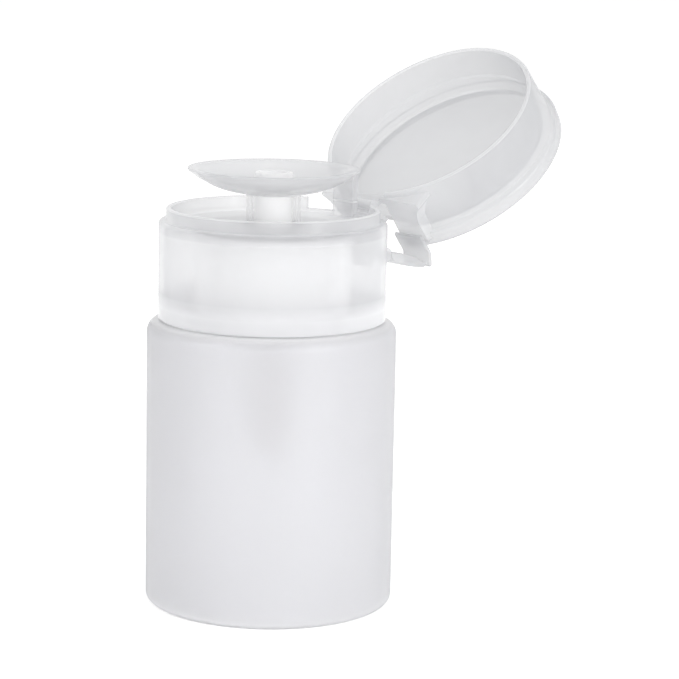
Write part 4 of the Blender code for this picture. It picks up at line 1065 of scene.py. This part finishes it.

# %% [markdown]
# ## The return spring
# A round wire wound eight times lifts the plate again. A small circle set beside the axis and wound by
# a Screw modifier gives the coil, and its two ends are filled, because a cut wire is solid.

# %% Model the spring
WIRE_RADIUS = 0.36 * MM
CURLS = 8
COIL_RADIUS = 2.85 * MM
coil_low = spring_low[2] + WIRE_RADIUS
coil_high = spring_high[2] - WIRE_RADIUS
deselect_all()
bpy.ops.mesh.primitive_circle_add(vertices=12, radius=WIRE_RADIUS, location=(COIL_RADIUS, 0, coil_low),
                                  rotation=(math.pi / 2, 0, 0))
spring = bpy.context.object
spring.name = "spring_coil"
bpy.ops.object.transform_apply(location=True, rotation=True, scale=True)
wind = spring.modifiers.new("wind", "SCREW")
wind.angle = FULL_TURN * CURLS
wind.screw_offset = coil_high - coil_low
wind.steps = wind.render_steps = 32 * CURLS
wind.use_merge_vertices = False
bpy.ops.object.modifier_apply(modifier=wind.name)
bpy.ops.object.mode_set(mode="EDIT")
bpy.ops.mesh.select_all(action="DESELECT")
bpy.ops.mesh.select_non_manifold(extend=False)
bpy.ops.mesh.fill()
close_shell()
finish_piece(spring, wire_finish, "plunger", "return_spring", 50)
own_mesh(spring)

# %% [markdown]
# ## Finishes of the inner pieces
# What is left lies inside, behind the milky walls: the housing, its ring, cage, seal, washer, tube and
# balls. Their shapes are right as they are, so they only get their finish, by a material of their own.

# %% Dress the inner pieces
inner_finishes = {
    "pump_housing": housing_finish,
    "dip_tube": tube_finish,
    "lock_ring": white_finish,
    "ball_cage": white_finish,
    "piston_seal": seal_finish,
    "neck_gasket": gasket_finish,
    "inlet_ball": ball_finish,
    "outlet_ball": ball_finish,
}
for name, material in inner_finishes.items():
    mesh = frame["nodes"][name].data
    mesh.materials.clear()
    mesh.materials.append(material)
print("dressed:", ", ".join(inner_finishes))

# %% [markdown]
# ## The floor
# The photograph has a white studio ground. A large pale floor keeps the soft shadow of the bottle, and
# a share of it glows only where it is seen, by the camera, in a reflection or through plastic. So it
# shows white without lighting the object more.

# %% Build the floor
FLOOR_GLOW = 0.4


def seen_directly(tree):
    """1 where the camera, a reflection or a view through plastic meets something, and 0 elsewhere."""
    light_path = tree.nodes.new("ShaderNodeLightPath")
    camera_ray, glossy_ray, through_ray = (Signal(tree, light_path.outputs[f"Is {kind} Ray"])
                                           for kind in ("Camera", "Glossy", "Transmission"))
    return camera_ray.greatest(glossy_ray).greatest(through_ray)


deselect_all()
bpy.ops.mesh.primitive_plane_add(size=40.0, location=(0, 0, 0))
floor = bpy.context.object
floor.name = "studio_floor"
ground = Finish("studio_ground")
ground.set(base_color=(0.9, 0.9, 0.9, 1), roughness=0.9, specular_ior_level=0.0)
ground.set(emission_color=(1, 1, 1, 1), emission_strength=seen_directly(ground.tree) * FLOOR_GLOW)
floor.data.materials.append(ground.material)
print("floor:", tuple(floor.dimensions))

# %% [markdown]
# ## The world
# The world is the white backdrop where it is seen, and calmer where it only lights the pieces, as
# a brighter one would wash out the soft greys of the milky walls.

# %% Set the world
WORLD_LIGHT = 0.67
world = bpy.data.worlds.new("studio_world")
scene.world = world
world.use_nodes = True
background = world.node_tree.nodes["Background"]
background.inputs["Color"].default_value = (1, 1, 1, 1)
feed(world.node_tree, background.inputs["Strength"],
     seen_directly(world.node_tree) * (1 - WORLD_LIGHT) + WORLD_LIGHT)
scene.view_settings.view_transform = "Standard"
print(f"world light {WORLD_LIGHT}")

# %% [markdown]
# ## The lamps
# Two long soft strips at the sides draw the upright highlights of the bottle, a broad box in front
# fills the milky walls, and one above lights the dish and the ledge. Each lamp looks at the middle of
# the bottle and is itself unseen.

# %% Hang the lamps
LAMP_TARGET = Vector((0, 0, 60 * MM))


def lamp(name, place, width, height, power):
    """A soft box that looks at the middle of the bottle."""
    data = bpy.data.lights.new(name, "AREA")
    data.shape = "RECTANGLE"
    data.size = width
    data.size_y = height
    data.energy = power
    thing = bpy.data.objects.new(name, data)
    scene.collection.objects.link(thing)
    thing.location = place
    thing.rotation_euler = (LAMP_TARGET - Vector(place)).to_track_quat("-Z", "Y").to_euler()
    thing.visible_camera = False
    print(f"{name}: {width} by {height} m, {power} W")


lamp("key_strip", (0.95, 0.05, 0.46), 0.16, 0.85, 4.0)
lamp("fill_strip", (-0.15, -0.95, 0.5), 0.14, 0.85, 2.1)
lamp("front_box", (0.9, -0.9, 0.08), 0.8, 0.5, 4.2)
lamp("top_box", (0.0, 0.1, 1.1), 0.7, 0.7, 1.0)
